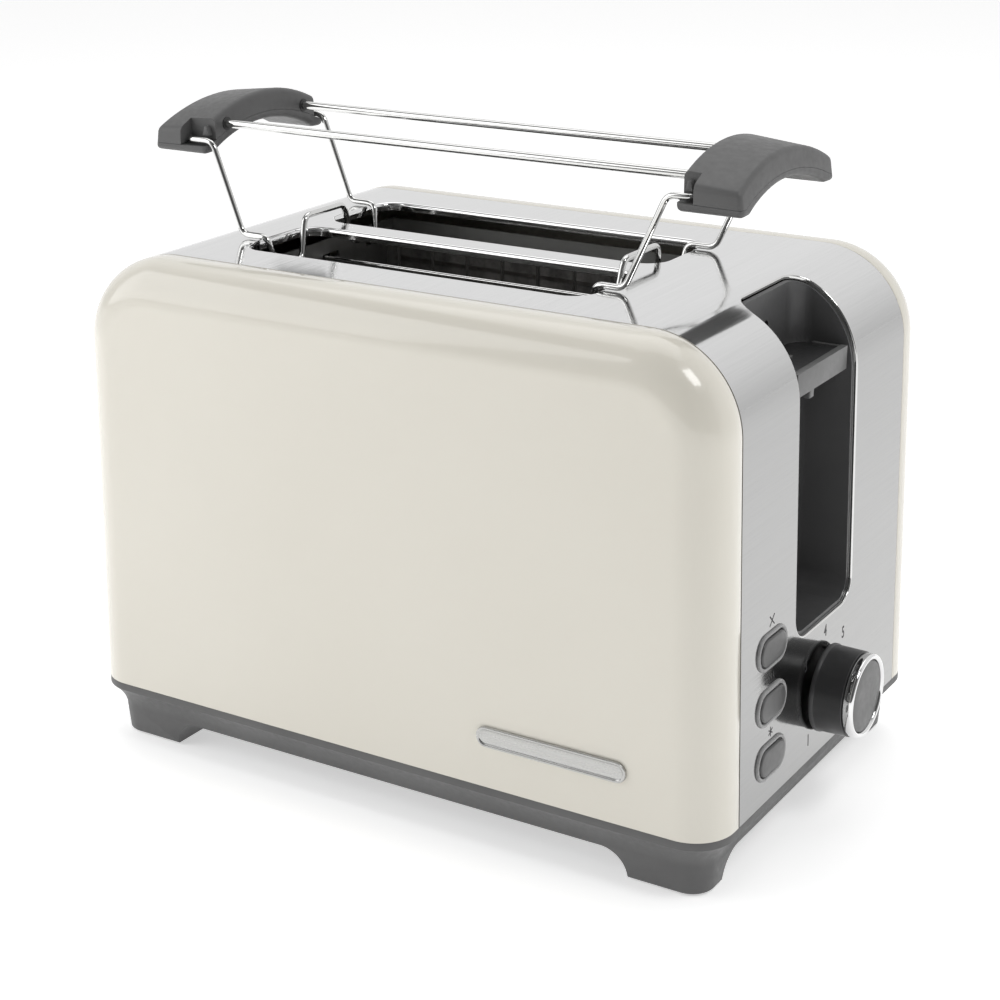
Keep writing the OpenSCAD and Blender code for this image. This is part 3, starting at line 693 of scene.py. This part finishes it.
def build_liner():
    """Dark lever well with the slit for the lever's stem."""
    obj = well_room("well_liner_skin", -0.05 * MM, 12)
    rings = [[(x, y, z) for x, z in outline(1.6 * MM, BODY_Z0)] for y in (-WELL_W, WELL_W)]
    boolean(obj, loft("liner_envelope", rings), "INTERSECT")
    boolean(obj, well_room("liner_inside", -WELL_WALL, 12))
    slit_len = 98.5 * MM
    slit = rounded_points(4 * MM, slit_len, 1.9 * MM, 6)
    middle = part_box("lever")[1][2] + 11 * MM - slit_len / 2
    boolean(obj, prism_x("slit_cutter", [(y, z + middle) for y, z in slit],
                         WELL_X - 2 * MM, WELL_X + 3 * MM))
    return finish_piece(obj, LINER, "housing", ["well_liner"], angle=30)


# ---- Lever, dial and buttons ----


def build_lever():
    """Dark paddle with a raised grey lip along its front."""
    lo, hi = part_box("lever")
    lip_low = hi[2] - 8.6 * MM
    corner = WELL_R - WELL_WALL
    reach = 4 * corner
    plan = rounded_points(reach, hi[1] - lo[1], corner, 10)
    plan = [(min(x + lo[0] + reach / 2, hi[0] - 1.2 * MM), y) for x, y in plan]
    paddle = prism_z("lever_paddle", plan, hi[2] - 3.2 * MM, hi[2] - 0.9 * MM)
    hub = box_object("hub", (lo[0] + 0.2 * MM, -4 * MM, lip_low + MM),
                     (lo[0] + 13 * MM, 4 * MM, hi[2] - MM))
    boolean(paddle, hub, "UNION")
    bevel(paddle, 0.4 * MM, 3)
    finish_piece(paddle, KNOB_DARK, "bread_carriage", ["lever"], angle=40)
    lip = box_object("lever_lip", (hi[0] - 2.6 * MM, lo[1], lip_low), hi)
    for side in (lo[1], hi[1] - 1.6 * MM):
        wing = box_object("wing", (lo[0] + corner, side, lip_low + 2 * MM),
                          (hi[0] - MM, side + 1.6 * MM, hi[2] - 0.2 * MM))
        boolean(lip, wing, "UNION")
    bevel(lip, 0.5 * MM, 4)
    tab = box_object("tab", (hi[0] - 3.2 * MM, -9.5 * MM, lo[2]),
                     (hi[0] - 0.4 * MM, -6 * MM, lip_low + 0.6 * MM))
    bevel(tab, 0.5 * MM, 3)
    return finish_piece(join([lip, tab]), LEVER_GREY, "bread_carriage", ["lever"],
                        angle=40)


def build_dial():
    """Knob with a bright ring and a grey cap in its front."""
    x0 = knob_lo[0]
    x1 = knob_hi[0]
    r1 = (knob_hi[2] - knob_lo[2]) / 2
    r0 = r1 - 0.4 * MM
    front_r = r1 - 0.55 * MM
    knob = lathe_x("dial_knob_skin", [
        (3.1 * MM, x0 + 1.5 * MM), (r0 - 1.6 * MM, x0 + 1.5 * MM), (r0 - 1.6 * MM, x0),
        (r1 - 0.3 * MM, x0), (r1 - 0.02 * MM, x0 + 0.3 * MM), (r1 - 0.02 * MM, x0 + 1.2 * MM),
        (r1 - 0.25 * MM, x0 + 1.5 * MM), (r0 + 0.05 * MM, x0 + 1.6 * MM),
        (r0, x0 + 2 * MM), (front_r, x1 - 0.3 * MM),
        (front_r - 0.3 * MM, x1), (3.1 * MM, x1)], 0, DIAL_Z, 128)
    finish_piece(knob, KNOB_DARK, "dial", ["dial_knob"], angle=40)
    ring_lo, ring_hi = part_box("dial_ring")
    r = (ring_hi[2] - ring_lo[2]) / 2
    wide = 2.2 * MM
    profile = [(r - wide, ring_lo[0] + 0.05 * MM), (r - 0.6 * MM, ring_lo[0] + 0.05 * MM),
               (r - 0.1 * MM, ring_lo[0] + 0.5 * MM)]
    for i in range(13):
        a = math.pi * i / 12
        profile.append((r - wide / 2 + wide / 2 * math.cos(a) * 0.98,
                        ring_hi[0] - 1.2 * MM + 1.2 * MM * math.sin(a)))
    loops = [[(x, *p) for p in circle(0, DIAL_Z, radius, 128)] for radius, x in profile]
    finish_piece(ring_band("dial_ring_skin", loops), CHROME, "dial", ["dial_ring"],
                 angle=50)
    rc = r - wide - 0.1 * MM
    face = ring_hi[0] - 0.7 * MM
    cap = lathe_x("dial_cap_skin", [
        (rc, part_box("dial_cap")[0][0]), (rc, face - 0.4 * MM), (rc - 0.15 * MM, face - 0.1 * MM),
        (rc - 0.5 * MM, face), (rc * 0.5, face - 0.1 * MM), (0.4 * MM, face - 0.15 * MM)],
        0, DIAL_Z, 128)
    finish_piece(cap, BUTTON, "dial", ["dial_cap"], angle=40)


def pill_stack(y, z, layers, steps=14):
    """A pill along X: layers are (length, height, x at the middle height, lean with the end)."""
    rings = []
    for length, height, x, lean in layers:
        rings.append([(x - lean * b, y + a, z + b) for a, b in pill_points(length, height, steps)])
    return rings


def build_buttons():
    """Three pill buttons, each with its stem, in three thin frames that are one piece."""
    frame_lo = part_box("button_frame")[0]
    plates = []
    for node, body in zip(BUTTON_NODES, ("defrost", "reheat", "cancel")):
        lo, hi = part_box(node)
        y = (lo[1] + hi[1]) / 2
        z = (lo[2] + hi[2]) / 2
        face = end_x(z)
        back = frame_lo[0] + 1 * MM
        inner_l = BUTTON_LEN + 0.9 * MM
        inner_h = BUTTON_H + 0.9 * MM
        out = face + 0.9 * MM
        layers = [(FRAME_LEN - 0.1 * MM, FRAME_H - 0.1 * MM, back, SLOPE)]
        for i in range(7):
            a = QUARTER * i / 6
            shrink = 0.7 * MM * (1 - math.cos(a))
            layers.append((FRAME_LEN - 0.1 * MM - 2 * shrink, FRAME_H - 0.1 * MM - 2 * shrink,
                           out - 0.7 * MM * (1 - math.sin(a)), SLOPE))
        layers += [(inner_l + 0.6 * MM, inner_h + 0.6 * MM, out - 0.05 * MM, SLOPE),
                   (inner_l, inner_h, out - 0.4 * MM, SLOPE), (inner_l, inner_h, back, SLOPE)]
        rings = pill_stack(y, z, layers)
        plates.append(ring_band("button_frame_skin" if not plates else "part", rings))
        tip = hi[0]
        layers = [(BUTTON_LEN, BUTTON_H, back - 2 * MM, SLOPE)]
        for i in range(6):
            a = QUARTER * i / 5
            shrink = 0.8 * MM * (1 - math.cos(a))
            layers.append((BUTTON_LEN - 2 * shrink, BUTTON_H - 2 * shrink,
                           tip - 0.8 * MM * (1 - math.sin(a)) - 0.35 * MM, SLOPE))
        layers += [(BUTTON_LEN * 0.55, BUTTON_H * 0.4, tip - 0.3 * MM, SLOPE)]
        button = loft(node + "_cap", pill_stack(y, z, layers))
        stem = lathe_x("stem", [(2 * MM, lo[0]), (2 * MM, back - MM)], y, z, 24)
        finish_piece(join([button, stem]), BUTTON, body, [node], angle=50)
    finish_piece(join(plates), FRAME_GREY, "housing", ["button_frame"], angle=50)


def build_badge():
    """Plain bright lozenge with a sunken middle."""
    lo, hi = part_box("badge")
    x, z = centre("badge")[::2]
    length = hi[0] - lo[0]
    height = hi[2] - lo[2]
    rings = []
    for inset, out in ((0, 0), (0, 0.7), (0.15, 1.0), (0.5, 1.15), (0.9, 1.1), (1.2, 0.8),
                       (1.5, 0.65), (2.6, 0.65)):
        points = pill_points(length - 2 * inset * MM, height - 2 * inset * MM, 14)
        rings.append([(x + a, hi[1] - out * MM, z + b) for a, b in points])
    return finish_piece(loft("badge_skin", rings), SATIN, "housing", ["badge"],
                        angle=40)


# ---- Printed marks on the control end ----


def on_end(y, z, lift=0.05 * MM):
    return Vector((end_x(z) + lift, y, z))


def flat_bar(y0, z0, y1, z1, width):
    """Corners of a straight printed bar."""
    dy, dz = y1 - y0, z1 - z0
    length = math.hypot(dy, dz)
    ny, nz = -dz / length * width / 2, dy / length * width / 2
    return [(y0 + ny, z0 + nz), (y1 + ny, z1 + nz), (y1 - ny, z1 - nz), (y0 - ny, z0 - nz)]


def build_marks():
    """Generic pictograms over the buttons: a cross, heat waves and a snowflake."""
    polygons = []

    def symbol(node, bars):
        y, z = centre(node)[1:]
        z += FRAME_H / 2 + 1.2 * MM
        k = 1.6 * MM
        for a, b, c, d in bars:
            polygons.append(flat_bar(y + a * k, z + b * k, y + c * k, z + d * k, 0.5 * MM))

    symbol("button_cancel", [(-1.2, 0.2, 1.2, 2.6), (-1.2, 2.6, 1.2, 0.2)])
    waves = []
    for shift in (-1.1, 0, 1.1):
        for k in range(6):
            wave = [0.28 * math.sin(t * 2 * math.pi / 6) for t in (k, k + 1)]
            waves.append((shift + wave[0], 0.1 + 0.33 * k, shift + wave[1], 0.1 + 0.33 * (k + 1)))
    symbol("button_reheat", waves)
    flakes = []
    for k in range(3):
        a = math.pi * k / 3 + QUARTER
        c, s = 1.15 * math.cos(a), 1.15 * math.sin(a)
        flakes.append((-c, 1.2 - s, c, 1.2 + s))
    symbol("button_defrost", flakes)
    verts = []
    faces = []
    for polygon in polygons:
        faces.append(tuple(range(len(verts), len(verts) + len(polygon))))
        verts += [on_end(y, z) for y, z in polygon]
    finish_piece(raw_object("button_pictograms", verts, faces), INK, "housing")


def build_numbers():
    """The dial's numbers, 1 to 5, printed round it."""
    size = 6.4 * MM
    parts = []
    for index, (degrees, reach) in enumerate(((234, 20.9), (186, 21.4), (139, 20.9), (86, 21.2),
                                              (38, 23.2))):
        angle = math.radians(degrees)
        radius = reach * MM
        y = radius * math.cos(angle)
        z = DIAL_Z + radius * math.sin(angle)
        text = bpy.data.curves.new("number", "FONT")
        text.body = str(index + 1)
        text.size = size
        text.offset = 0.09 * MM
        text.align_x = "CENTER"
        text.align_y = "CENTER"
        holder = bpy.data.objects.new("number", text)
        bpy.context.scene.collection.objects.link(holder)
        bpy.context.view_layer.update()
        graph = bpy.context.evaluated_depsgraph_get()
        mesh = bpy.data.meshes.new_from_object(holder.evaluated_get(graph))
        bpy.data.objects.remove(holder, do_unlink=True)
        for vertex in mesh.vertices:
            vertex.co = on_end(y + vertex.co.x * 0.75, z + vertex.co.y)
        part = bpy.data.objects.new("dial_numbers", mesh)
        bpy.context.scene.collection.objects.link(part)
        parts.append(part)
    finish_piece(join(parts), INK, "housing")


# ---- Base ----


def base_body(half_x, half_y, inset, arch, crease):
    """The base before its openings: feet spread into the band under the shells."""

    def ring(z, move):
        points = rounded_points(2 * (half_x - move), 2 * (half_y - move), FACE_R - move, 12)
        return [(x, y, z) for x, y in points]

    lift = base_lo[2]
    rings = [ring(lift, inset + 1.3 * MM), ring(lift + 0.5 * MM, inset + 0.8 * MM)]
    for i in range(13):
        u = i / 12
        rings.append(ring(arch + (crease - arch) * u, inset * (1 - u * u)))
    rings += [ring(BODY_Z0 - 0.6 * MM, 0), ring(BODY_Z0 - 0.15 * MM, 0.15 * MM),
              ring(BODY_Z0, 0.5 * MM)]
    obj = loft("base_skin", rings)
    wall = 3.5 * MM
    hollow = [ring(arch + 2 * MM, 9 * MM), ring(crease, wall), ring(BODY_Z0 + 5 * MM, wall)]
    return boolean(obj, loft("base_hollow", hollow))


def arch_points(half, rise):
    """Opening between two feet: flat on top, round at both ends."""
    points = [(-half, -5 * MM)]
    for i in range(13):
        a = QUARTER * i / 12
        points.append((-half + rise * (1 - math.cos(a)), rise * math.sin(a)))
    return points + [(-u, v) for u, v in reversed(points)]


def corners(lo, hi, r):
    """Centres of four round pieces of radius r in the corners of a box."""
    return [(x, y) for x in (lo[0] + r, hi[0] - r) for y in (lo[1] + r, hi[1] - r)]


def build_base():
    """Base with its feet, arches, crumb tray mouth, and holes for pads, gland and screws."""
    half_x = base_hi[0]
    half_y = base_hi[1]
    inset = 6 * MM
    arch = 10.8 * MM
    foot_len = 30 * MM
    foot_w = 16 * MM
    obj = base_body(half_x, half_y, inset, arch, BODY_Z0 - 3 * MM)
    long_arch = arch_points(half_x - inset - foot_len, arch)
    side_arch = arch_points(half_y - inset - foot_w, arch)
    boolean(obj, loft("arch", [[(u, y, v) for u, v in long_arch] for y in (-0.2, 0.2)]))
    boolean(obj, loft("arch", [[(x, u, v) for u, v in side_arch] for x in (-0.2, 0.2)]))
    pads_lo, pads_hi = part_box("foot_pads")
    pad_hole = PAD_R + 0.1 * MM
    for x, y in corners(pads_lo, pads_hi, PAD_R):
        boolean(obj, lathe_z("pad_hole", [(pad_hole, -MM), (pad_hole, pads_hi[2])], x, y))
    tray_lo, tray_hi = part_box("crumb_tray")
    boolean(obj, box_object("tray_mouth", (-0.2, tray_lo[1] - 0.6 * MM, tray_lo[2] - 0.4 * MM),
                            (-half_x + 15 * MM, tray_hi[1] + 0.6 * MM, BODY_Z0 + MM)))
    x, z = centre("cord_gland")[::2]
    hole = circle(x, z, 5.05 * MM, 32)
    gland_ys = (half_y - 20 * MM, 0.2)
    boolean(obj, loft("gland_hole", [[(u, y, v) for u, v in hole] for y in gland_ys]))
    screw_lo, screw_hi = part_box("base_screws")
    head_r = 3 * MM
    head_hole = head_r + 0.4 * MM
    for x, y in corners(screw_lo, screw_hi, head_r):
        boolean(obj, lathe_z("screw_hole", [(head_hole, -MM), (head_hole, arch)], x, y, 32))
    bevel(obj, 0.5 * MM, 2, 50)
    return finish_piece(obj, GREY, "housing", ["base"], angle=40)


def build_pads():
    lo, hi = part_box("foot_pads")
    profile = [(PAD_R - 0.6 * MM, lo[2]), (PAD_R - 0.15 * MM, lo[2] + 0.2 * MM),
               (PAD_R - 0.05 * MM, 0.6 * MM), (PAD_R - 0.05 * MM, hi[2] - 0.05 * MM)]
    parts = []
    for x, y in corners(lo, hi, PAD_R):
        parts.append(lathe_z("foot_pads_skin" if not parts else "pad", profile, x, y))
    return finish_piece(join(parts), RUBBER, "housing", ["foot_pads"])


def build_gland():
    """Collar for the cord, with its flange inside and a lip outside."""
    x, z = centre("cord_gland")[::2]
    lo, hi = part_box("cord_gland")
    flange = lo[1] + 1.8 * MM
    lip = hi[1] - 2.5 * MM
    profile = ((3.4, lo[1]), (5.9, lo[1]), (5.9, flange), (4.95, flange), (4.95, lip), (5.4, lip),
               (5.4, hi[1] - 0.6 * MM), (4.9, hi[1]), (3.8, hi[1]), (3.4, hi[1] - 0.4 * MM))
    loops = [[(u, y, v) for u, v in circle(x, z, r * MM, 48)] for r, y in profile]
    return finish_piece(ring_band("cord_gland_skin", loops), BLACK, "housing", ["cord_gland"])


# ---- Warming rack ----


def lean(obj, inner_x, side, low, top):
    """Leans a grip's outer face inwards and lets its top fall towards that face."""
    for vertex in obj.data.vertices:
        out = max(0.0, side * (vertex.co.x - inner_x)) / (25 * MM)
        up = max(0.0, vertex.co.z - low) / (top - low)
        vertex.co.x -= side * GRIP_LEAN * out ** 2 * up
        vertex.co.z -= GRIP_LEAN * out ** 1.5 * up


def grip_halves(name, clamp_name):
    """An arched grip and the clamp under it, cut from one rounded body."""
    lo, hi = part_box(name)
    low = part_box(clamp_name)[0][2]
    half = hi[1]
    arch = 10 * MM
    under_half = half - 6 * MM
    under_rise = 8 * MM
    top_r = (half ** 2 + arch ** 2) / (2 * arch)
    under_r = (under_half ** 2 + under_rise ** 2) / (2 * under_rise)

    def top_z(y):
        return hi[2] - top_r + math.sqrt(top_r ** 2 - y ** 2)

    def under_z(y):
        return max(low, low + under_rise - under_r + math.sqrt(under_r ** 2 - y ** 2))

    steps = 24
    ys = [-half + 2 * half * i / steps for i in range(steps + 1)]

    def whole(label):
        points = [(y, under_z(y)) for y in ys] + [(y, top_z(y)) for y in reversed(ys)]
        return bevel(prism_x(label, points, lo[0], hi[0]), 2.0 * MM, 6, 30)

    def half_room(up, far_z):
        """Everything above or below the joint between grip and clamp."""
        points = [(y * 1.1, under_z(y) + up) for y in ys]
        points += [(half * 1.1, far_z), (-half * 1.1, far_z)]
        return prism_x("half_room", points, lo[0] - 5 * MM, hi[0] + 5 * MM)

    gap = 0.06 * MM
    grip = boolean(whole(name + "_skin"), half_room(CLAMP_H + gap, hi[2] + 5 * MM), "INTERSECT")
    clamp = boolean(whole(clamp_name + "_skin"), half_room(CLAMP_H - gap, low - 5 * MM),
                    "INTERSECT")
    return grip, clamp


def wire_stop(inner_x, side, y, foot):
    """Small wedge beside a leg's wire, at the end of a grip."""
    x0 = inner_x + side * 1.4 * MM
    x1 = inner_x + side * 4.6 * MM
    rings = []
    for wide, z, cut_in, cut_out in ((1.7 * MM, foot, 0, 0), (1.4 * MM, foot + 3.6 * MM, MM, 0.8 * MM)):
        a = x0 + side * cut_in
        b = x1 - side * cut_out
        rings.append([(a, y - wide, z), (b, y - wide, z), (b, y + wide, z), (a, y + wide, z)])
    return bevel(loft("stop", rings), 0.4 * MM, 2)


def build_grip(name, clamp_name, side):
    """Arched grip with its clamp below; side is -1 for the left, 1 for the right."""
    lo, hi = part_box(name)
    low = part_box(clamp_name)[0][2]
    half = hi[1]
    inner_x = lo[0] if side > 0 else hi[0]
    grip, clamp = grip_halves(name, clamp_name)
    leg_lo, leg_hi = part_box("rack_leg_right" if side > 0 else "rack_leg_left")
    pivot = (leg_hi[0] if side > 0 else -leg_lo[0]) - WIRE_R
    notch_x = pivot + 2 * MM - side * inner_x
    notch_y = 6.5 * MM
    x0, x1 = sorted((inner_x - side * MM, inner_x + side * notch_x))
    parts = [grip]
    for end in (-1, 1):
        y0, y1 = sorted((end * (half - notch_y), end * (half + MM)))
        boolean(grip, box_object("notch", (x0, y0, low + CLAMP_H - MM), (x1, y1, hi[2] + MM)))
        parts.append(wire_stop(inner_x, side, end * (half - notch_y + 0.9 * MM), low + 6.4 * MM))
    joined = join(parts)
    lean(joined, inner_x, side, low, hi[2])
    lean(clamp, inner_x, side, low, hi[2])
    finish_piece(joined, GRIP_GREY, "rack", [name], angle=40)
    finish_piece(clamp, GRIP_GREY, "rack", [clamp_name], angle=40)
    build_sockets(inner_x, side)


def build_sockets(inner_x, side):
    """Dark sleeves where the rods go into a grip."""
    name = "rod_socket_left" if side < 0 else "rod_socket_right"
    r = ROD_R + 0.9 * MM
    x0, x1 = sorted((inner_x - side * 0.25 * MM, inner_x + side * 2 * MM))
    z = (rods_lo[2] + rods_hi[2]) / 2
    y = (rods_hi[1] - rods_lo[1]) / 2 - ROD_R
    sockets = [lathe_x(name, [(r, x0), (r, x1)], end * y, z, 24) for end in (-1, 1)]
    finish_piece(join(sockets), BLACK, "rack")


def build_rods():
    y = rods_hi[1] - ROD_R
    z = (rods_lo[2] + rods_hi[2]) / 2
    ends = (rods_lo[0] + MM, rods_hi[0] - MM)
    parts = [sweep("rack_rods_skin" if not i else "rod",
                   [(ends[0], s * y, z), (ends[1], s * y, z)], ROD_R, sides=24)
             for i, s in enumerate((-1, 1))]
    return finish_piece(join(parts), WIRE, "rack", ["rack_rods"])


def build_leg(name, body, side):
    """One bent wire: pivots in the grip, feet on the steel, bridge over the divider."""
    lo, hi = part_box(name)
    half = hi[1] - WIRE_R
    pivot_x = (hi[0] - WIRE_R - SLOT_X) if side > 0 else (SLOT_X - lo[0] - WIRE_R)
    pivot_z = hi[2] - WIRE_R
    drop_x = (lo[0] + WIRE_R - SLOT_X) if side > 0 else (SLOT_X - hi[0] + WIRE_R)
    drop_z = lo[2] + WIRE_R
    foot_z = BODY_Z1 + WIRE_R + 0.3 * MM
    grip_lo, grip_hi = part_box("rack_grip_right" if side > 0 else "rack_grip_left")
    knee_x = grip_lo[0] - 4.1 * MM if side > 0 else grip_hi[0] + 1.4 * MM
    bridge_y = 12.9 * MM
    half_side = [
        (side * pivot_x, half - 10 * MM, pivot_z),
        (side * pivot_x, half, pivot_z),
        (knee_x - SLOT_X, half, pivot_z),
        (side * (SLOT_LEN / 2 + 9 * MM), half, foot_z),
        (side * (SLOT_LEN / 2 - 2.5 * MM), half, foot_z),
        (side * drop_x, half - 2.5 * MM, drop_z),
        (side * drop_x, bridge_y + 4 * MM, drop_z),
        (side * (drop_x + MM), bridge_y, foot_z + 4 * MM),
    ]
    path = [(x + SLOT_X, -y, z) for x, y, z in half_side]
    path += [(x + SLOT_X, y, z) for x, y, z in reversed(half_side)]
    return finish_piece(sweep(name + "_skin", path, WIRE_R, 3.2 * MM, 18), WIRE, body, [name],
                        angle=60)


# ---- CAD nodes that stay ----


def dress_frame():
    """Materials for the CAD nodes that are shown as they are."""
    looks = {
        CHASSIS: ["chassis_left", "chassis_right", "shield_front", "shield_rear", "base_screws",
                  "carriage", "armature", "lifter_front", "lifter_rear", "dial_shaft",
                  "crumb_tray"],
        WIRE: ["guide_front_outer", "guide_front_inner", "guide_rear_inner", "guide_rear_outer",
               "guide_rod", "lift_spring"],
        MICA: ["heater_board_front", "heater_board_middle", "heater_board_rear"],
        HEATER: ["heater_ribbon_front", "heater_ribbon_middle", "heater_ribbon_rear"],
        BOARD: ["control_board"],
        COIL: ["electromagnet"],
        BLACK: ["dial_pot", "tact_switches"],
    }
    for material, names in looks.items():
        for name in names:
            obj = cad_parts[name]
            for slot in obj.material_slots:
                slot.material = material


# ---- Studio ----


def build_stage():
    floor_mesh = bpy.data.meshes.new("floor")
    size = 12.0
    floor_mesh.from_pydata([(-size, -size, 0), (size, -size, 0), (size, size, 0),
                            (-size, size, 0)], [], [(0, 1, 2, 3)])
    floor = bpy.data.objects.new("floor", floor_mesh)
    bpy.context.scene.collection.objects.link(floor)
    floor.location.z = -0.0002
    paper = Shader("paper", (0.93, 0.93, 0.93), 0.9)
    paper.bsdf.inputs["Specular IOR Level"].default_value = 0.1
    paper.bsdf.inputs["Emission Color"].default_value = (1, 1, 1, 1)
    paper.bsdf.inputs["Emission Strength"].default_value = 0.48
    floor_mesh.materials.append(paper.mat)


def area_light(name, place, aim, size, power):
    data = bpy.data.lights.new(name, "AREA")
    data.shape = "SQUARE"
    data.size = size
    data.energy = power
    obj = bpy.data.objects.new(name, data)
    bpy.context.scene.collection.objects.link(obj)
    obj.location = place
    obj.rotation_euler = (Vector(aim) - Vector(place)).to_track_quat("-Z", "Y").to_euler()
    return obj


def build_lights():
    """White studio: bright behind and to the left, darker to the right and low down."""
    world = bpy.data.worlds.new("studio")
    bpy.context.scene.world = world
    world.use_nodes = True
    tree = world.node_tree
    background = tree.nodes["Background"]
    background.inputs["Strength"].default_value = 0.33
    coords = tree.nodes.new("ShaderNodeTexCoord").outputs["Generated"]
    split = tree.nodes.new("ShaderNodeSeparateXYZ")
    tree.links.new(coords, split.inputs["Vector"])
    across = tree.nodes.new("ShaderNodeValToRGB")
    stops = ((0.0, 1.0), (0.40, 0.8), (0.62, 0.30), (0.80, 0.12), (0.92, 0.55), (1.0, 0.76))
    spread = tree.nodes.new("ShaderNodeMapRange")
    spread.inputs["From Min"].default_value = -1.0
    tree.links.new(split.outputs["X"], spread.inputs["Value"])
    tree.links.new(spread.outputs["Result"], across.inputs["Fac"])
    set_stops(across, stops)
    back = tree.nodes.new("ShaderNodeMapRange")
    back.interpolation_type = "SMOOTHSTEP"
    back.inputs["From Min"].default_value = -0.15
    back.inputs["From Max"].default_value = 0.45
    tree.links.new(split.outputs["Y"], back.inputs["Value"])
    mix = tree.nodes.new("ShaderNodeMix")
    mix.data_type = "RGBA"
    mix.inputs["B"].default_value = (2.65, 2.65, 2.65, 1)
    tree.links.new(back.outputs["Result"], mix.inputs["Factor"])
    tree.links.new(across.outputs["Color"], mix.inputs["A"])
    tree.links.new(mix.outputs["Result"], background.inputs["Color"])
    area_light("key", (-0.62, -0.47, 0.54), (-0.12, 0, 0.14), 0.75, 2.9)
    area_light("top", (-0.3, 0.5, 1.9), (0, 0, 0.1), 1.6, 7)
    area_light("fill", (0.55, -0.12, 0.80), (0.11, 0, 0.18), 0.25, 1.5)


def set_stops(ramp, stops):
    """Grey levels of a colour ramp, as (position, level)."""
    elements = ramp.color_ramp.elements
    while len(elements) < len(stops):
        elements.new(0.5)
    for element, (position, level) in zip(elements, stops):
        element.position = position
        element.color = (level, level, level, 1)


def build_camera():
    azimuth = math.radians(31.54)
    elevation = math.radians(20.08)
    roll = math.radians(-0.242)
    distance = 0.8131
    middle = Vector((0, 0, 0.1025))
    back = Vector((math.sin(azimuth) * math.cos(elevation),
                   -math.cos(azimuth) * math.cos(elevation), math.sin(elevation)))
    level = Vector((math.cos(azimuth), math.sin(azimuth), 0))
    upright = back.cross(level)
    right = level * math.cos(roll) + upright * math.sin(roll)
    up = upright * math.cos(roll) - level * math.sin(roll)
    aim = middle - right * 0.0015 - up * 0.0058
    data = bpy.data.cameras.new("camera")
    data.lens = 75.24
    data.sensor_width = 36
    data.clip_start = 0.01
    camera = bpy.data.objects.new("camera", data)
    bpy.context.scene.collection.objects.link(camera)
    turn = Matrix((right, up, back)).transposed().to_4x4()
    camera.matrix_world = Matrix.Translation(aim + back * distance) @ turn
    bpy.context.scene.camera = camera
    bpy.context.scene.view_settings.view_transform = "Standard"


build_camera()
build_lights()
build_stage()
build_shell("front_shell", -1)
build_shell("rear_shell", 1)
build_gasket()
build_band()
for side in (-1, 1):
    build_slot_rim(side)
build_well_rim()
build_liner()
build_lever()
build_dial()
build_buttons()
build_badge()
build_marks()
build_numbers()
build_base()
build_pads()
build_gland()
build_grip("rack_grip_left", "rack_clamp_left", -1)
build_grip("rack_grip_right", "rack_clamp_right", 1)
build_rods()
build_leg("rack_leg_left", "leg_left", -1)
build_leg("rack_leg_right", "leg_right", 1)
dress_frame()
